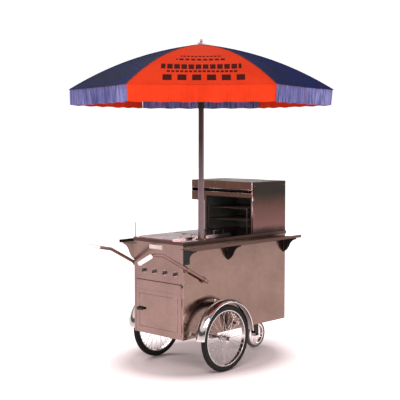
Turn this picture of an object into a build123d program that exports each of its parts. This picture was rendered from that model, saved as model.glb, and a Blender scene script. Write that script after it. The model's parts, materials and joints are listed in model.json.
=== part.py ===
"""Push vending cart with oven box, steam pans, shelves, spoked wheels and folding umbrella.

Millimetres, +Z up. The origin is on the ground under the umbrella pole. The push handles are at
the -X end, the oven at the +X end, and the customer's side is -Y.
"""
import os
from math import cos, radians, sin, sqrt

from build123d import *

os.makedirs("parts", exist_ok=True)

# ---------------------------------------------------------------- driving dimensions
BODY_LENGTH = 1190.0
BODY_WIDTH = 528.0
COUNTER_TOP = 1000.0
BODY_FRONT = -258.0          # x of the front face, which carries the knobs
BODY_CENTRE = 200.0          # y of the cart's centre plane
SHEET = 1.5                  # stainless sheet
TUBE = 25.0                  # square tube of the frame
TUBE_WALL = 2.0
WELD_GAP = 0.2               # between separate bars of one frame
SEAT_GAP = 0.3               # between pieces that rest on each other
RUNNING_GAP = 0.05           # radial, shaft in bore

WHEEL_RADIUS = 254.0
TYRE_RADIUS = 20.0
TYRE_DEPTH = 36.0            # of the tyre outside the rim
WHEEL_OFFSET = 106.0         # wheel's middle outside the body's side
WHEEL_X = 85.0
AXLE_RADIUS = 10.0
HUB_HALF = 30.0
HUB_RADIUS = 20.0
HUB_FLANGE_RADIUS = 30.0
RIM_FLANGE_HEIGHT = 6.0
RIM_DEPTH = 6.0              # of the well, from the tyre's seat to the bore
RIM_HALF = 15.5
SPOKE_COUNT = 36
SPOKE_RADIUS = 1.3

CASTER_RADIUS = 110.0
CASTER_X = 800.0             # swivel axis
CASTER_TRAIL = 65.0
CASTER_HALF = 18.0

FENDER_GAP = 43.0            # from the tyre to the fender's crown
FENDER_RISE = 20.0           # of the crown above the rolled edges
FENDER_HALF = 42.0
AXLE_DROP = 18.0             # axle's middle below the body's underside
SHELF_DEPTH = 140.0
SHELF_TOP = 952.0
SHELF_LIP = 20.0
SHELF_FLANGE = 30.0
SHELF_FRONT_OVERHANG = 32.0
SHELF_BACK_OVERHANG = 34.0
BRACKET_DROP = 125.0

PAN_FRONT_MARGIN = 35.0      # counter in front of the pans
PAN_SPACING = 54.0           # counter between the two pans
PAN_BACK_MARGIN = 82.0       # counter between the pans and the oven
PAN_WIDTH = 326.0
PAN_DEPTH = 120.0
PAN_CENTRE_Y = 245.0
LID_HEIGHT = 12.0

KNOB_RADIUS = 14.0
KNOB_PITCH = 112.0
KNOB_CENTRE_Y = 186.0
KNOB_Z = 757.0
KNOB_COUNT = 4

DRAWER_Z = 618.0
DRAWER_FRONT_HEIGHT = 64.0
DRAWER_INSET = 39.0          # drawer box inside the body's side
DRAWER_DEPTH = 400.0
DOOR_SILL = 16.0             # body's underside to the door
DOOR_TOP = 608.0
DOOR_INSET = 22.0            # door and drawer front inside the body's side

OVEN_FRONT = 525.0
OVEN_SPLIT = 1286.0          # top of the open chamber
OVEN_TOP = 1410.0
HEADER_OVERHANG = 146.0      # past the far wall
HEADER_DROP = 1245.0         # underside of the overhanging end

HANDLE_RADIUS = 12.0
GRIP_RADIUS = 16.0
GRIP_LENGTH = 150.0

POLE_RADIUS = 23.0
UPPER_POLE_RADIUS = 20.0
POLE_FOOT = 700.0
POLE_JOINT = 1440.0
RIB_COUNT = 6
CANOPY_RADIUS = 990.0
CANOPY_TOP = 2460.0
CANOPY_RIM = 2120.0
CANOPY_THICK = 2.0
VALANCE = 115.0
PANEL_AZIMUTH = 223.8        # middle of the first red panel
RIB_HALF = 4.0               # ribs are square bars
RIB_DROP = 10.4              # rib's centre line below the canopy
RIB_HINGE = 30.0
STRETCHER_HINGE = 45.0
STRETCHER_LENGTH = 520.0
STRETCHER_OFFSET = 12.0
STRETCHER_RADIUS = 3.0
FINIAL_TOP = 2494.0
FINIAL_RADIUS = 12.0

# ---------------------------------------------------------------- derived places
BODY_BACK = BODY_FRONT + BODY_LENGTH
NEAR = BODY_CENTRE - BODY_WIDTH / 2
FAR = BODY_CENTRE + BODY_WIDTH / 2
INNER_NEAR = NEAR + SHEET
INNER_FAR = FAR - SHEET
PANEL_TOP = COUNTER_TOP - SHEET - SEAT_GAP
BODY_BOTTOM = WHEEL_RADIUS + AXLE_DROP
WHEEL_NEAR = NEAR - WHEEL_OFFSET
WHEEL_FAR = FAR + WHEEL_OFFSET
RIM_RADIUS = WHEEL_RADIUS - TYRE_DEPTH
RIM_SEAT = RIM_RADIUS - RIM_FLANGE_HEIGHT
RIM_BORE = RIM_SEAT - RIM_DEPTH
FENDER_RADIUS = WHEEL_RADIUS + FENDER_GAP
PAN_LENGTH = (OVEN_FRONT - BODY_FRONT - PAN_FRONT_MARGIN - PAN_SPACING - PAN_BACK_MARGIN) / 2
PAN_CENTRES = (BODY_FRONT + PAN_FRONT_MARGIN + PAN_LENGTH / 2, OVEN_FRONT - PAN_BACK_MARGIN - PAN_LENGTH / 2)
DRAWER_HALF = BODY_WIDTH / 2 - DRAWER_INSET
DOOR_HALF = BODY_WIDTH / 2 - DOOR_INSET
DOOR_BOTTOM = BODY_BOTTOM + DOOR_SILL
COS30 = cos(radians(30))
SIN30 = sin(radians(30))


def block(x, y, z, mode=Mode.ADD):
    """A box between two x, two y and two z values, in the current part."""
    with Locations(((x[0] + x[1]) / 2, (y[0] + y[1]) / 2, (z[0] + z[1]) / 2)):
        Box(x[1] - x[0], y[1] - y[0], z[1] - z[0], mode=mode)


def rod(start, end, radius, mode=Mode.ADD):
    """A round bar from start to end, in the current part."""
    path = Vector(*end) - Vector(*start)
    with BuildSketch(Plane(origin=start, z_dir=path)) as section:
        Circle(radius)
    extrude(section.sketch, amount=path.length, mode=mode)


def square_tube(x, y, z):
    """A hollow square bar along its longest side."""
    block(x, y, z)
    spans = [x, y, z]
    longest = max(range(3), key=lambda i: spans[i][1] - spans[i][0])
    core = [s if i == longest else (s[0] + TUBE_WALL, s[1] - TUBE_WALL) for i, s in enumerate(spans)]
    block(*core, mode=Mode.SUBTRACT)


# ---------------------------------------------------------------- frame and axle
POST_FRONT = (BODY_FRONT + SHEET, BODY_FRONT + SHEET + TUBE)
POST_BACK = (BODY_BACK - SHEET - TUBE, BODY_BACK - SHEET)
SIDE_NEAR = (INNER_NEAR, INNER_NEAR + TUBE)
SIDE_FAR = (INNER_FAR - TUBE, INNER_FAR)
LOW_RAIL = (BODY_BOTTOM, BODY_BOTTOM + TUBE)
TOP_RAIL = (PANEL_TOP - TUBE, PANEL_TOP)
BETWEEN_SIDES = (SIDE_NEAR[1] + WELD_GAP, SIDE_FAR[0] - WELD_GAP)
SADDLE_LENGTH = 35.0
RUNNER_WIDTH = 48.0
RUNNER_END = BODY_FRONT + DRAWER_DEPTH + 20
RUNNER_TOP = DRAWER_Z + 6 - SEAT_GAP
BURNER_Z = 845.0
BURNER_RADIUS = 14.0
BURNER_BAR = (BURNER_Z - BURNER_RADIUS - TUBE, BURNER_Z - BURNER_RADIUS - SEAT_GAP)
BURNER_BAR_X = 430.0

with BuildPart() as chassis_frame:
    for side in (SIDE_NEAR, SIDE_FAR):
        square_tube((POST_FRONT[0], POST_BACK[1]), side, LOW_RAIL)
        square_tube((POST_FRONT[0], POST_BACK[1]), side, TOP_RAIL)
        for post in (POST_FRONT, POST_BACK):
            square_tube(post, side, (LOW_RAIL[1] + WELD_GAP, TOP_RAIL[0] - WELD_GAP))
    for x in (POST_FRONT[0], WHEEL_X - TUBE / 2, CASTER_X - TUBE / 2, POST_BACK[0]):
        square_tube((x, x + TUBE), BETWEEN_SIDES, LOW_RAIL)
    for x in (POST_FRONT[0], OVEN_FRONT - TUBE / 2, POST_BACK[0]):
        square_tube((x, x + TUBE), BETWEEN_SIDES, TOP_RAIL)
    square_tube((BURNER_BAR_X, BURNER_BAR_X + TUBE), (INNER_NEAR, INNER_FAR), BURNER_BAR)
    for edge in (INNER_NEAR, INNER_FAR - RUNNER_WIDTH):
        block((POST_FRONT[1] + WELD_GAP, RUNNER_END), (edge, edge + RUNNER_WIDTH),
              (RUNNER_TOP - 2, RUNNER_TOP))
    for edge in (INNER_NEAR, INNER_FAR - SADDLE_LENGTH):
        block((WHEEL_X - 30, WHEEL_X + 30), (edge, edge + SADDLE_LENGTH),
              (WHEEL_RADIUS - 18, BODY_BOTTOM - WELD_GAP))
        rod((WHEEL_X, edge - 1, WHEEL_RADIUS), (WHEEL_X, edge + SADDLE_LENGTH + 1, WHEEL_RADIUS),
            AXLE_RADIUS + RUNNING_GAP, Mode.SUBTRACT)
chassis_frame.part.label = "chassis_frame"
export_step(chassis_frame.part, "parts/chassis_frame.step")

AXLE_STUB = 15.0             # thread outside each hub
COLLAR = 30.0
with BuildPart() as axle:
    rod((WHEEL_X, WHEEL_NEAR - HUB_HALF - AXLE_STUB, WHEEL_RADIUS),
        (WHEEL_X, WHEEL_FAR + HUB_HALF + AXLE_STUB, WHEEL_RADIUS), AXLE_RADIUS)
    for hub, out in ((WHEEL_NEAR, -1), (WHEEL_FAR, 1)):
        inner = hub - out * (HUB_HALF + SEAT_GAP)
        rod((WHEEL_X, inner, WHEEL_RADIUS), (WHEEL_X, inner - out * COLLAR, WHEEL_RADIUS), AXLE_RADIUS + 5)
        outer = hub + out * (HUB_HALF + SEAT_GAP)
        rod((WHEEL_X, outer, WHEEL_RADIUS), (WHEEL_X, outer + out * 9, WHEEL_RADIUS), AXLE_RADIUS + 6)
axle.part.label = "axle"
export_step(axle.part, "parts/axle.step")

# ---------------------------------------------------------------- panels
for name, inner in (("side_panel_right", NEAR), ("side_panel_left", FAR - SHEET)):
    with BuildPart() as side_panel:
        block((BODY_FRONT, BODY_BACK), (inner, inner + SHEET), (BODY_BOTTOM, PANEL_TOP))
    side_panel.part.label = name
    export_step(side_panel.part, f"parts/{name}.step")

with BuildPart() as rear_panel:
    block((BODY_BACK - SHEET, BODY_BACK), (INNER_NEAR, INNER_FAR), (BODY_BOTTOM, PANEL_TOP))
rear_panel.part.label = "rear_panel"
export_step(rear_panel.part, "parts/rear_panel.step")

FLOOR = LOW_RAIL[1] + SEAT_GAP
with BuildPart() as floor_pan:
    block((POST_FRONT[1] + 1, POST_BACK[0] - 1), (SIDE_NEAR[0] + 1, SIDE_FAR[1] - 1), (FLOOR, FLOOR + SHEET))
floor_pan.part.label = "floor_pan"
export_step(floor_pan.part, "parts/floor_pan.step")

# The front is a control panel above a welded frame around the drawer and the door.
FRONT = (BODY_FRONT, BODY_FRONT + SHEET)
DRAWER_TOP = DRAWER_Z + DRAWER_FRONT_HEIGHT
STILE = 32.0                 # from the body's side to the openings
OPEN_NEAR = NEAR + STILE
OPEN_FAR = FAR - STILE
DOOR_OPEN = (DOOR_BOTTOM + 12, DOOR_TOP - 12)
DRAWER_OPEN = (DRAWER_Z + 4, DRAWER_TOP - 4)
KNOB_HOLE = 6.0
KNOBS_Y = [KNOB_CENTRE_Y + (i - (KNOB_COUNT - 1) / 2) * KNOB_PITCH for i in range(KNOB_COUNT)]
HINGE_X = BODY_FRONT - 4.5
HINGE_Y = OPEN_NEAR - 15
HINGE_ZS = (DOOR_BOTTOM + 62, DOOR_TOP - 63)
KNUCKLE = 20.0
KNUCKLE_RADIUS = 4.0
PIN_RADIUS = 2.0

with BuildPart() as front_panel:
    block(FRONT, (INNER_NEAR, INNER_FAR), (DRAWER_OPEN[1], PANEL_TOP))
    for y in KNOBS_Y:
        rod((FRONT[0] - 1, y, KNOB_Z), (FRONT[1] + 1, y, KNOB_Z), KNOB_HOLE, Mode.SUBTRACT)
    block(FRONT, (INNER_NEAR, OPEN_NEAR), (BODY_BOTTOM, DRAWER_OPEN[1] - WELD_GAP))
    block(FRONT, (OPEN_FAR, INNER_FAR), (BODY_BOTTOM, DRAWER_OPEN[1] - WELD_GAP))
    for z in ((BODY_BOTTOM, DOOR_OPEN[0]), (DOOR_OPEN[1], DRAWER_OPEN[0])):
        block(FRONT, (OPEN_NEAR + WELD_GAP, OPEN_FAR - WELD_GAP), z)
    for z in HINGE_ZS:
        for end in (z - KNUCKLE * 1.5, z + KNUCKLE / 2):
            rod((HINGE_X, HINGE_Y, end), (HINGE_X, HINGE_Y, end + KNUCKLE), KNUCKLE_RADIUS)
            block((HINGE_X, FRONT[0]), (HINGE_Y - KNUCKLE_RADIUS, HINGE_Y), (end, end + KNUCKLE))
        rod((HINGE_X, HINGE_Y, z - KNUCKLE * 1.5), (HINGE_X, HINGE_Y, z + KNUCKLE * 1.5), PIN_RADIUS)
front_panel.part.label = "front_panel"
export_step(front_panel.part, "parts/front_panel.step")

VENT = ((BODY_FRONT + 8, BODY_FRONT + 68), (SHELF_TOP - 121, SHELF_TOP - SHELF_FLANGE - 1))
with BuildPart() as vent_plate:
    block(VENT[0], (NEAR - 2.5, NEAR), VENT[1])
    for i in range(6):
        z = VENT[1][0] + 14 + i * 15
        block((VENT[0][0] + 8, VENT[0][1] - 8), (NEAR - 5, NEAR - 2.5), (z, z + 4))
vent_plate.part.label = "vent_plate"
export_step(vent_plate.part, "parts/vent_plate.step")

# ---------------------------------------------------------------- counter, pans and lids
COUNTER_LIP = 6.0
SKIRT = 25.0
CUT_GAP = 2.0
LID_HINGE_Y = PAN_CENTRE_Y + PAN_WIDTH / 2 + 24
LID_HINGE_Z = COUNTER_TOP + 5.5
SOCKET_RADIUS = POLE_RADIUS + 3
COUNTER_X = (BODY_FRONT - COUNTER_LIP, BODY_BACK + COUNTER_LIP)
COUNTER_Y = (NEAR - COUNTER_LIP, FAR + COUNTER_LIP)

with BuildPart() as countertop:
    block(COUNTER_X, COUNTER_Y, (COUNTER_TOP - SKIRT, COUNTER_TOP))
    block((COUNTER_X[0] + SHEET, COUNTER_X[1] - SHEET), (COUNTER_Y[0] + SHEET, COUNTER_Y[1] - SHEET),
          (COUNTER_TOP - SKIRT - 1, COUNTER_TOP - SHEET), Mode.SUBTRACT)
    for x in PAN_CENTRES:
        half_x = PAN_LENGTH / 2 + CUT_GAP
        half_y = PAN_WIDTH / 2 + CUT_GAP
        block((x - half_x, x + half_x), (PAN_CENTRE_Y - half_y, PAN_CENTRE_Y + half_y),
              (COUNTER_TOP - 5, COUNTER_TOP + 5), Mode.SUBTRACT)
        for start in (x - KNUCKLE * 1.5, x + KNUCKLE / 2):
            rod((start, LID_HINGE_Y, LID_HINGE_Z),
                (start + KNUCKLE, LID_HINGE_Y, LID_HINGE_Z), KNUCKLE_RADIUS)
            block((start, start + KNUCKLE), (LID_HINGE_Y - 3, LID_HINGE_Y + 3),
                  (COUNTER_TOP - 1, LID_HINGE_Z))
        rod((x - KNUCKLE * 1.5, LID_HINGE_Y, LID_HINGE_Z), (x + KNUCKLE * 1.5, LID_HINGE_Y, LID_HINGE_Z),
            PIN_RADIUS)
    rod((0, 0, COUNTER_TOP - SHEET - 1), (0, 0, COUNTER_TOP + 1), SOCKET_RADIUS + SEAT_GAP, Mode.SUBTRACT)
countertop.part.label = "countertop"
export_step(countertop.part, "parts/countertop.step")

RIM_FLANGE = 9.0
with BuildPart() as steam_pans:
    for x in PAN_CENTRES:
        along = (x - PAN_LENGTH / 2, x + PAN_LENGTH / 2)
        across = (PAN_CENTRE_Y - PAN_WIDTH / 2, PAN_CENTRE_Y + PAN_WIDTH / 2)
        block((along[0] - RIM_FLANGE, along[1] + RIM_FLANGE),
              (across[0] - RIM_FLANGE, across[1] + RIM_FLANGE),
              (COUNTER_TOP + SEAT_GAP, COUNTER_TOP + SEAT_GAP + 1.2))
        block(along, across, (COUNTER_TOP - PAN_DEPTH, COUNTER_TOP + SEAT_GAP + 1.2))
        block((along[0] + SHEET, along[1] - SHEET), (across[0] + SHEET, across[1] - SHEET),
              (COUNTER_TOP - PAN_DEPTH + SHEET, COUNTER_TOP + 5), Mode.SUBTRACT)
steam_pans.part.label = "steam_pans"
export_step(steam_pans.part, "parts/steam_pans.step")

LID_MARGIN = 17.0
LID_BOTTOM = COUNTER_TOP + 0.4
LID_TOP = COUNTER_TOP + LID_HEIGHT
LID_NEAR = PAN_CENTRE_Y - PAN_WIDTH / 2 - LID_MARGIN
LID_FAR = LID_HINGE_Y - 5
BOW_Z = LID_TOP + 26
for name, x in zip(("lid_front", "lid_rear"), PAN_CENTRES):
    with BuildPart() as lid:
        half = PAN_LENGTH / 2 + LID_MARGIN
        block((x - half, x + half), (LID_NEAR, LID_FAR), (LID_BOTTOM, LID_TOP))
        block((x - half + SHEET, x + half - SHEET), (LID_NEAR + SHEET, LID_FAR - SHEET),
              (LID_BOTTOM - 1, LID_TOP - SHEET), Mode.SUBTRACT)
        for post in (x - 55, x + 55):
            rod((post, LID_NEAR + 24, LID_TOP - 1), (post, LID_NEAR + 24, BOW_Z), 4)
        rod((x - 59, LID_NEAR + 24, BOW_Z), (x + 59, LID_NEAR + 24, BOW_Z), 4)
        leaf = (x - KNUCKLE / 2 + 0.4, x + KNUCKLE / 2 - 0.4)
        rod((leaf[0], LID_HINGE_Y, LID_HINGE_Z), (leaf[1], LID_HINGE_Y, LID_HINGE_Z), KNUCKLE_RADIUS)
        block(leaf, (LID_FAR - 1, LID_HINGE_Y), (LID_HINGE_Z - 1, LID_HINGE_Z + 3))
        rod((leaf[0] - 1, LID_HINGE_Y, LID_HINGE_Z), (leaf[1] + 1, LID_HINGE_Y, LID_HINGE_Z),
            PIN_RADIUS + RUNNING_GAP, Mode.SUBTRACT)
    lid.part.label = name
    export_step(lid.part, f"parts/{name}.step")

# ---------------------------------------------------------------- drawer, door and latch
DRAWER_FACE = (BODY_FRONT - SHEET - SEAT_GAP, BODY_FRONT - SEAT_GAP)
DRAWER_BOX = (DRAWER_FACE[1] - 1, BODY_FRONT + DRAWER_DEPTH)
DRAWER_WALL_TOP = DRAWER_OPEN[1] - 6
PULL_DEPTH = 12.0            # lip along the drawer's top edge
with BuildPart() as drip_drawer:
    across = (BODY_CENTRE - DRAWER_HALF, BODY_CENTRE + DRAWER_HALF)
    block(DRAWER_BOX, across, (DRAWER_Z + 6, DRAWER_WALL_TOP))
    block((DRAWER_BOX[0] + SHEET, DRAWER_BOX[1] - SHEET), (across[0] + SHEET, across[1] - SHEET),
          (DRAWER_Z + 6 + SHEET, DRAWER_WALL_TOP + 1), Mode.SUBTRACT)
    block(DRAWER_FACE, (BODY_CENTRE - DOOR_HALF, BODY_CENTRE + DOOR_HALF), (DRAWER_Z, DRAWER_TOP))
    block((DRAWER_FACE[0] - PULL_DEPTH, DRAWER_FACE[0]), (BODY_CENTRE - DOOR_HALF, BODY_CENTRE + DOOR_HALF),
          (DRAWER_TOP - 3, DRAWER_TOP))
drip_drawer.part.label = "drip_drawer"
export_step(drip_drawer.part, "parts/drip_drawer.step")

DOOR_FACE = (BODY_FRONT - SHEET - SEAT_GAP, BODY_FRONT - SEAT_GAP)
DOOR_FLANGE = 15.0
DOOR_PAN = (OPEN_NEAR + 4, OPEN_FAR - 4)
LATCH_Y = BODY_CENTRE + DOOR_HALF - 37
LATCH_Z = DOOR_BOTTOM + 169
SPINDLE = 5.0
with BuildPart() as door:
    block(DOOR_FACE, (BODY_CENTRE - DOOR_HALF, BODY_CENTRE + DOOR_HALF), (DOOR_BOTTOM, DOOR_TOP))
    block((DOOR_FACE[0], BODY_FRONT + DOOR_FLANGE), DOOR_PAN, (DOOR_OPEN[0] + 4, DOOR_OPEN[1] - 4))
    block((DOOR_FACE[1], BODY_FRONT + DOOR_FLANGE + 1), (DOOR_PAN[0] + SHEET, DOOR_PAN[1] - SHEET),
          (DOOR_OPEN[0] + 4 + SHEET, DOOR_OPEN[1] - 4 - SHEET), Mode.SUBTRACT)
    for z in HINGE_ZS:
        leaf = (z - KNUCKLE / 2 + 0.4, z + KNUCKLE / 2 - 0.4)
        rod((HINGE_X, HINGE_Y, leaf[0]), (HINGE_X, HINGE_Y, leaf[1]), KNUCKLE_RADIUS)
        block((HINGE_X, DOOR_FACE[1]), (HINGE_Y, BODY_CENTRE - DOOR_HALF + 6), leaf)
        rod((HINGE_X, HINGE_Y, leaf[0] - 1), (HINGE_X, HINGE_Y, leaf[1] + 1), PIN_RADIUS + RUNNING_GAP,
            Mode.SUBTRACT)
    rod((DOOR_FACE[0] - 1, LATCH_Y, LATCH_Z), (DOOR_FACE[1] + 1, LATCH_Y, LATCH_Z), SPINDLE + RUNNING_GAP,
        Mode.SUBTRACT)
door.part.label = "door"
export_step(door.part, "parts/door.step")

LATCH_FACE = DOOR_FACE[0] - SEAT_GAP
with BuildPart() as door_latch:
    rod((LATCH_FACE - 12, LATCH_Y, LATCH_Z), (DOOR_FACE[1] + 10, LATCH_Y, LATCH_Z), SPINDLE)
    rod((LATCH_FACE - 6, LATCH_Y, LATCH_Z), (LATCH_FACE, LATCH_Y, LATCH_Z), 15)
    block((LATCH_FACE - 20, LATCH_FACE - 10), (LATCH_Y - 12, LATCH_Y + 12), (LATCH_Z - 12, LATCH_Z + 12))
    block((LATCH_FACE - 20, LATCH_FACE - 12), (LATCH_Y - 52, LATCH_Y), (LATCH_Z - 9, LATCH_Z + 9))
    block((DOOR_FACE[1] + 5, DOOR_FACE[1] + 9), (LATCH_Y, LATCH_Y + 18), (LATCH_Z - 7, LATCH_Z + 7))
door_latch.part.label = "door_latch"
export_step(door_latch.part, "parts/door_latch.step")

# ---------------------------------------------------------------- knobs and gas
KNOB_FACE = BODY_FRONT - 1
KNOB_DEPTH = 16.0
VALVE_X = BODY_FRONT + 22
MANIFOLD_X = BODY_FRONT + 60
SHAFT_RADIUS = 4.0
SHAFT_END = VALVE_X + 12
BURNERS_Y = (PAN_CENTRE_Y - 80, PAN_CENTRE_Y + 80)
BURNER_START = MANIFOLD_X
for i, y in enumerate(KNOBS_Y):
    with BuildPart() as knob:
        rod((KNOB_FACE - KNOB_DEPTH, y, KNOB_Z), (KNOB_FACE, y, KNOB_Z), KNOB_RADIUS)
        chamfer(knob.edges().filter_by(GeomType.CIRCLE).group_by(Axis.X)[0], 2)
        block((KNOB_FACE - KNOB_DEPTH - 6, KNOB_FACE - 5), (y - 3.5, y + 3.5),
              (KNOB_Z - KNOB_RADIUS + 3, KNOB_Z + KNOB_RADIUS - 3))
        rod((KNOB_FACE - 1, y, KNOB_Z), (SHAFT_END, y, KNOB_Z), SHAFT_RADIUS)
    knob.part.label = f"knob_{i + 1}"
    export_step(knob.part, f"parts/knob_{i + 1}.step")

with BuildPart() as gas_train:
    rod((MANIFOLD_X, KNOBS_Y[0] - 20, KNOB_Z), (MANIFOLD_X, KNOBS_Y[-1] + 40, KNOB_Z), 10)
    for y in KNOBS_Y:
        rod((VALVE_X, y, KNOB_Z), (MANIFOLD_X, y, KNOB_Z), 11)
        rod((VALVE_X - 1, y, KNOB_Z), (SHAFT_END + SEAT_GAP, y, KNOB_Z), SHAFT_RADIUS + RUNNING_GAP,
            Mode.SUBTRACT)
    for y in (KNOBS_Y[0] + KNOB_PITCH / 2, KNOBS_Y[-1] - KNOB_PITCH / 2):
        block((FRONT[1], MANIFOLD_X), (y - 10, y + 10), (KNOB_Z - 4, KNOB_Z + 4))
        block((FRONT[1], FRONT[1] + 3), (y - 14, y + 14), (KNOB_Z - 20, KNOB_Z + 20))
    for y in BURNERS_Y:
        rod((BURNER_START, y, KNOB_Z), (BURNER_START, y, BURNER_Z), 7)
        rod((BURNER_START - 10, y, BURNER_Z), (BURNER_BAR_X + TUBE, y, BURNER_Z), BURNER_RADIUS)
gas_train.part.label = "gas_train"
export_step(gas_train.part, "parts/gas_train.step")

BOTTLE_X = 400.0
BOTTLE_RADIUS = 150.0
BOTTLE_WALL = 3.0
BOTTLE_FOOT = FLOOR + SHEET + SEAT_GAP
with BuildPart() as gas_bottle:
    with BuildSketch(Plane.XZ.offset(-BODY_CENTRE)):
        for inset, mode in ((0, Mode.ADD), (BOTTLE_WALL, Mode.SUBTRACT)):
            foot = BOTTLE_FOOT + inset
            wall = BOTTLE_X + BOTTLE_RADIUS - inset
            neck = BOTTLE_X + 20 - inset * 4
            with BuildLine():
                Polyline((BOTTLE_X, foot), (BOTTLE_X + 110, foot),
                         (wall, foot + 60), (wall, BOTTLE_FOOT + 260))
                ThreePointArc((wall, BOTTLE_FOOT + 260), (BOTTLE_X + 105 - inset, BOTTLE_FOOT + 332 - inset),
                              (neck, BOTTLE_FOOT + 352 - inset))
                Polyline((neck, BOTTLE_FOOT + 352 - inset), (neck, BOTTLE_FOOT + 400 + inset),
                         (BOTTLE_X, BOTTLE_FOOT + 400 + inset), (BOTTLE_X, foot))
            make_face(mode=mode)
    revolve(axis=Axis((BOTTLE_X, BODY_CENTRE, 0), (0, 0, 1)))
gas_bottle.part.label = "gas_bottle"
export_step(gas_bottle.part, "parts/gas_bottle.step")

# ---------------------------------------------------------------- shelves
SHELF_X = (BODY_FRONT - SHELF_FRONT_OVERHANG, BODY_BACK + SHELF_BACK_OVERHANG)
for name, wall, out in (("shelf_right", NEAR, -1), ("shelf_left", FAR, 1)):
    edge = wall + out * SHELF_DEPTH
    with BuildPart() as shelf:
        block(SHELF_X, sorted((wall, edge)), (SHELF_TOP - SHEET, SHELF_TOP))
        block(SHELF_X, sorted((edge, edge - out * 2 * SHEET)), (SHELF_TOP - SHEET, SHELF_TOP + SHELF_LIP))
        block((BODY_FRONT, BODY_BACK), sorted((wall, wall + out * SHEET)),
              (SHELF_TOP - SHELF_FLANGE, SHELF_TOP))
    shelf.part.label = name
    export_step(shelf.part, f"parts/{name}.step")

BRACKET_XS = (BODY_FRONT, 229.0, BODY_BACK - 24)
BRACKET_THICK = 3.0
top = SHELF_TOP - SHEET
with BuildPart() as shelf_brackets:
    for wall, out in ((NEAR, -1), (FAR, 1)):
        inner = wall + out * SHEET
        outer = wall + out * (SHELF_DEPTH - 6)
        for x in BRACKET_XS:
            with BuildSketch(Plane.YZ.offset(x)):
                with BuildLine():
                    Polyline((inner, top - BRACKET_DROP), (inner, top), (outer, top), (outer, top - 12))
                    bend = (inner + out * 62, top - 66)
                    ThreePointArc((outer, top - 12), (inner + out * 84, top - 34), bend)
                    ThreePointArc(bend, (inner + out * 40, top - 98), (inner, top - BRACKET_DROP))
                make_face()
            extrude(amount=BRACKET_THICK)
shelf_brackets.part.label = "shelf_brackets"
export_step(shelf_brackets.part, "parts/shelf_brackets.step")

# ---------------------------------------------------------------- oven box
OVEN_X = (OVEN_FRONT, BODY_BACK)
OVEN_FLOOR = (COUNTER_TOP + SEAT_GAP, COUNTER_TOP + SEAT_GAP + SHEET)
JAMB = 20.0
with BuildPart() as oven_shell:
    walls = (OVEN_FLOOR[1] + WELD_GAP, OVEN_SPLIT - WELD_GAP)
    block(OVEN_X, (NEAR, FAR), OVEN_FLOOR)
    for inner in (NEAR, FAR - SHEET):
        block((OVEN_X[0], OVEN_X[1] - SHEET - WELD_GAP), (inner, inner + SHEET), walls)
    block((OVEN_X[1] - SHEET, OVEN_X[1]), (NEAR, FAR), walls)
    for y in ((NEAR, NEAR + JAMB), (FAR - JAMB, FAR)):
        block((OVEN_X[0] - SHEET - WELD_GAP, OVEN_X[0] - WELD_GAP), y, (OVEN_FLOOR[0], OVEN_SPLIT - WELD_GAP))
oven_shell.part.label = "oven_shell"
export_step(oven_shell.part, "parts/oven_shell.step")

HEADER_FAR = FAR + HEADER_OVERHANG
SLOT = (1321.0, 1345.0)
with BuildPart() as oven_header:
    ends = (OVEN_X[0] + SHEET + WELD_GAP, OVEN_X[1] - SHEET - WELD_GAP)
    under_top = OVEN_TOP - SHEET - WELD_GAP
    block(OVEN_X, (NEAR, HEADER_FAR), (OVEN_TOP - SHEET, OVEN_TOP))
    block(OVEN_X, (NEAR, FAR), (OVEN_SPLIT, OVEN_SPLIT + SHEET))
    block(OVEN_X, (FAR + SHEET + WELD_GAP, HEADER_FAR), (HEADER_DROP, HEADER_DROP + SHEET))
    block(OVEN_X, (FAR + WELD_GAP, FAR + SHEET), (HEADER_DROP, OVEN_SPLIT + SHEET))
    block(ends, (NEAR, NEAR + SHEET), (OVEN_SPLIT + SHEET + WELD_GAP, under_top))
    block(ends, (HEADER_FAR - SHEET, HEADER_FAR), (HEADER_DROP + SHEET + WELD_GAP, under_top))
    for x in ((OVEN_X[0], OVEN_X[0] + SHEET), (OVEN_X[1] - SHEET, OVEN_X[1])):
        block(x, (NEAR, HEADER_FAR), (SLOT[1], under_top))
        block(x, (NEAR, FAR + SHEET), (OVEN_SPLIT + SHEET + WELD_GAP, SLOT[0]))
        block(x, (FAR + SHEET + WELD_GAP, HEADER_FAR), (HEADER_DROP + SHEET + WELD_GAP, SLOT[0]))
    block((OVEN_X[1] - SHEET, OVEN_X[1]), (NEAR, HEADER_FAR), (SLOT[0] + WELD_GAP, SLOT[1] - WELD_GAP))
oven_header.part.label = "oven_header"
export_step(oven_header.part, "parts/oven_header.step")

RACK_X = (OVEN_X[0] + 20, OVEN_X[1] - 20)
RACK_Y = (NEAR + 80, FAR - 30)
RACK_ZS = (1095.0, 1190.0)
RACK_WIRES = 11
with BuildPart() as oven_racks:
    for x in RACK_X:
        for y in RACK_Y:
            rod((x, y, OVEN_FLOOR[1] + SEAT_GAP), (x, y, RACK_ZS[-1] + 12), 4)
    for z in RACK_ZS:
        inset = 4 + SEAT_GAP
        for y in (RACK_Y[0] + inset + 3, RACK_Y[1] - inset - 3):
            rod((RACK_X[0] - 3, y, z), (RACK_X[1] + 3, y, z), 3)
        for i in range(RACK_WIRES):
            x = RACK_X[0] + 12 + i * (RACK_X[1] - RACK_X[0] - 24) / (RACK_WIRES - 1)
            rod((x, RACK_Y[0] + inset + 3, z), (x, RACK_Y[1] - inset - 3, z), 1.8)
oven_racks.part.label = "oven_racks"
export_step(oven_racks.part, "parts/oven_racks.step")

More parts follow.
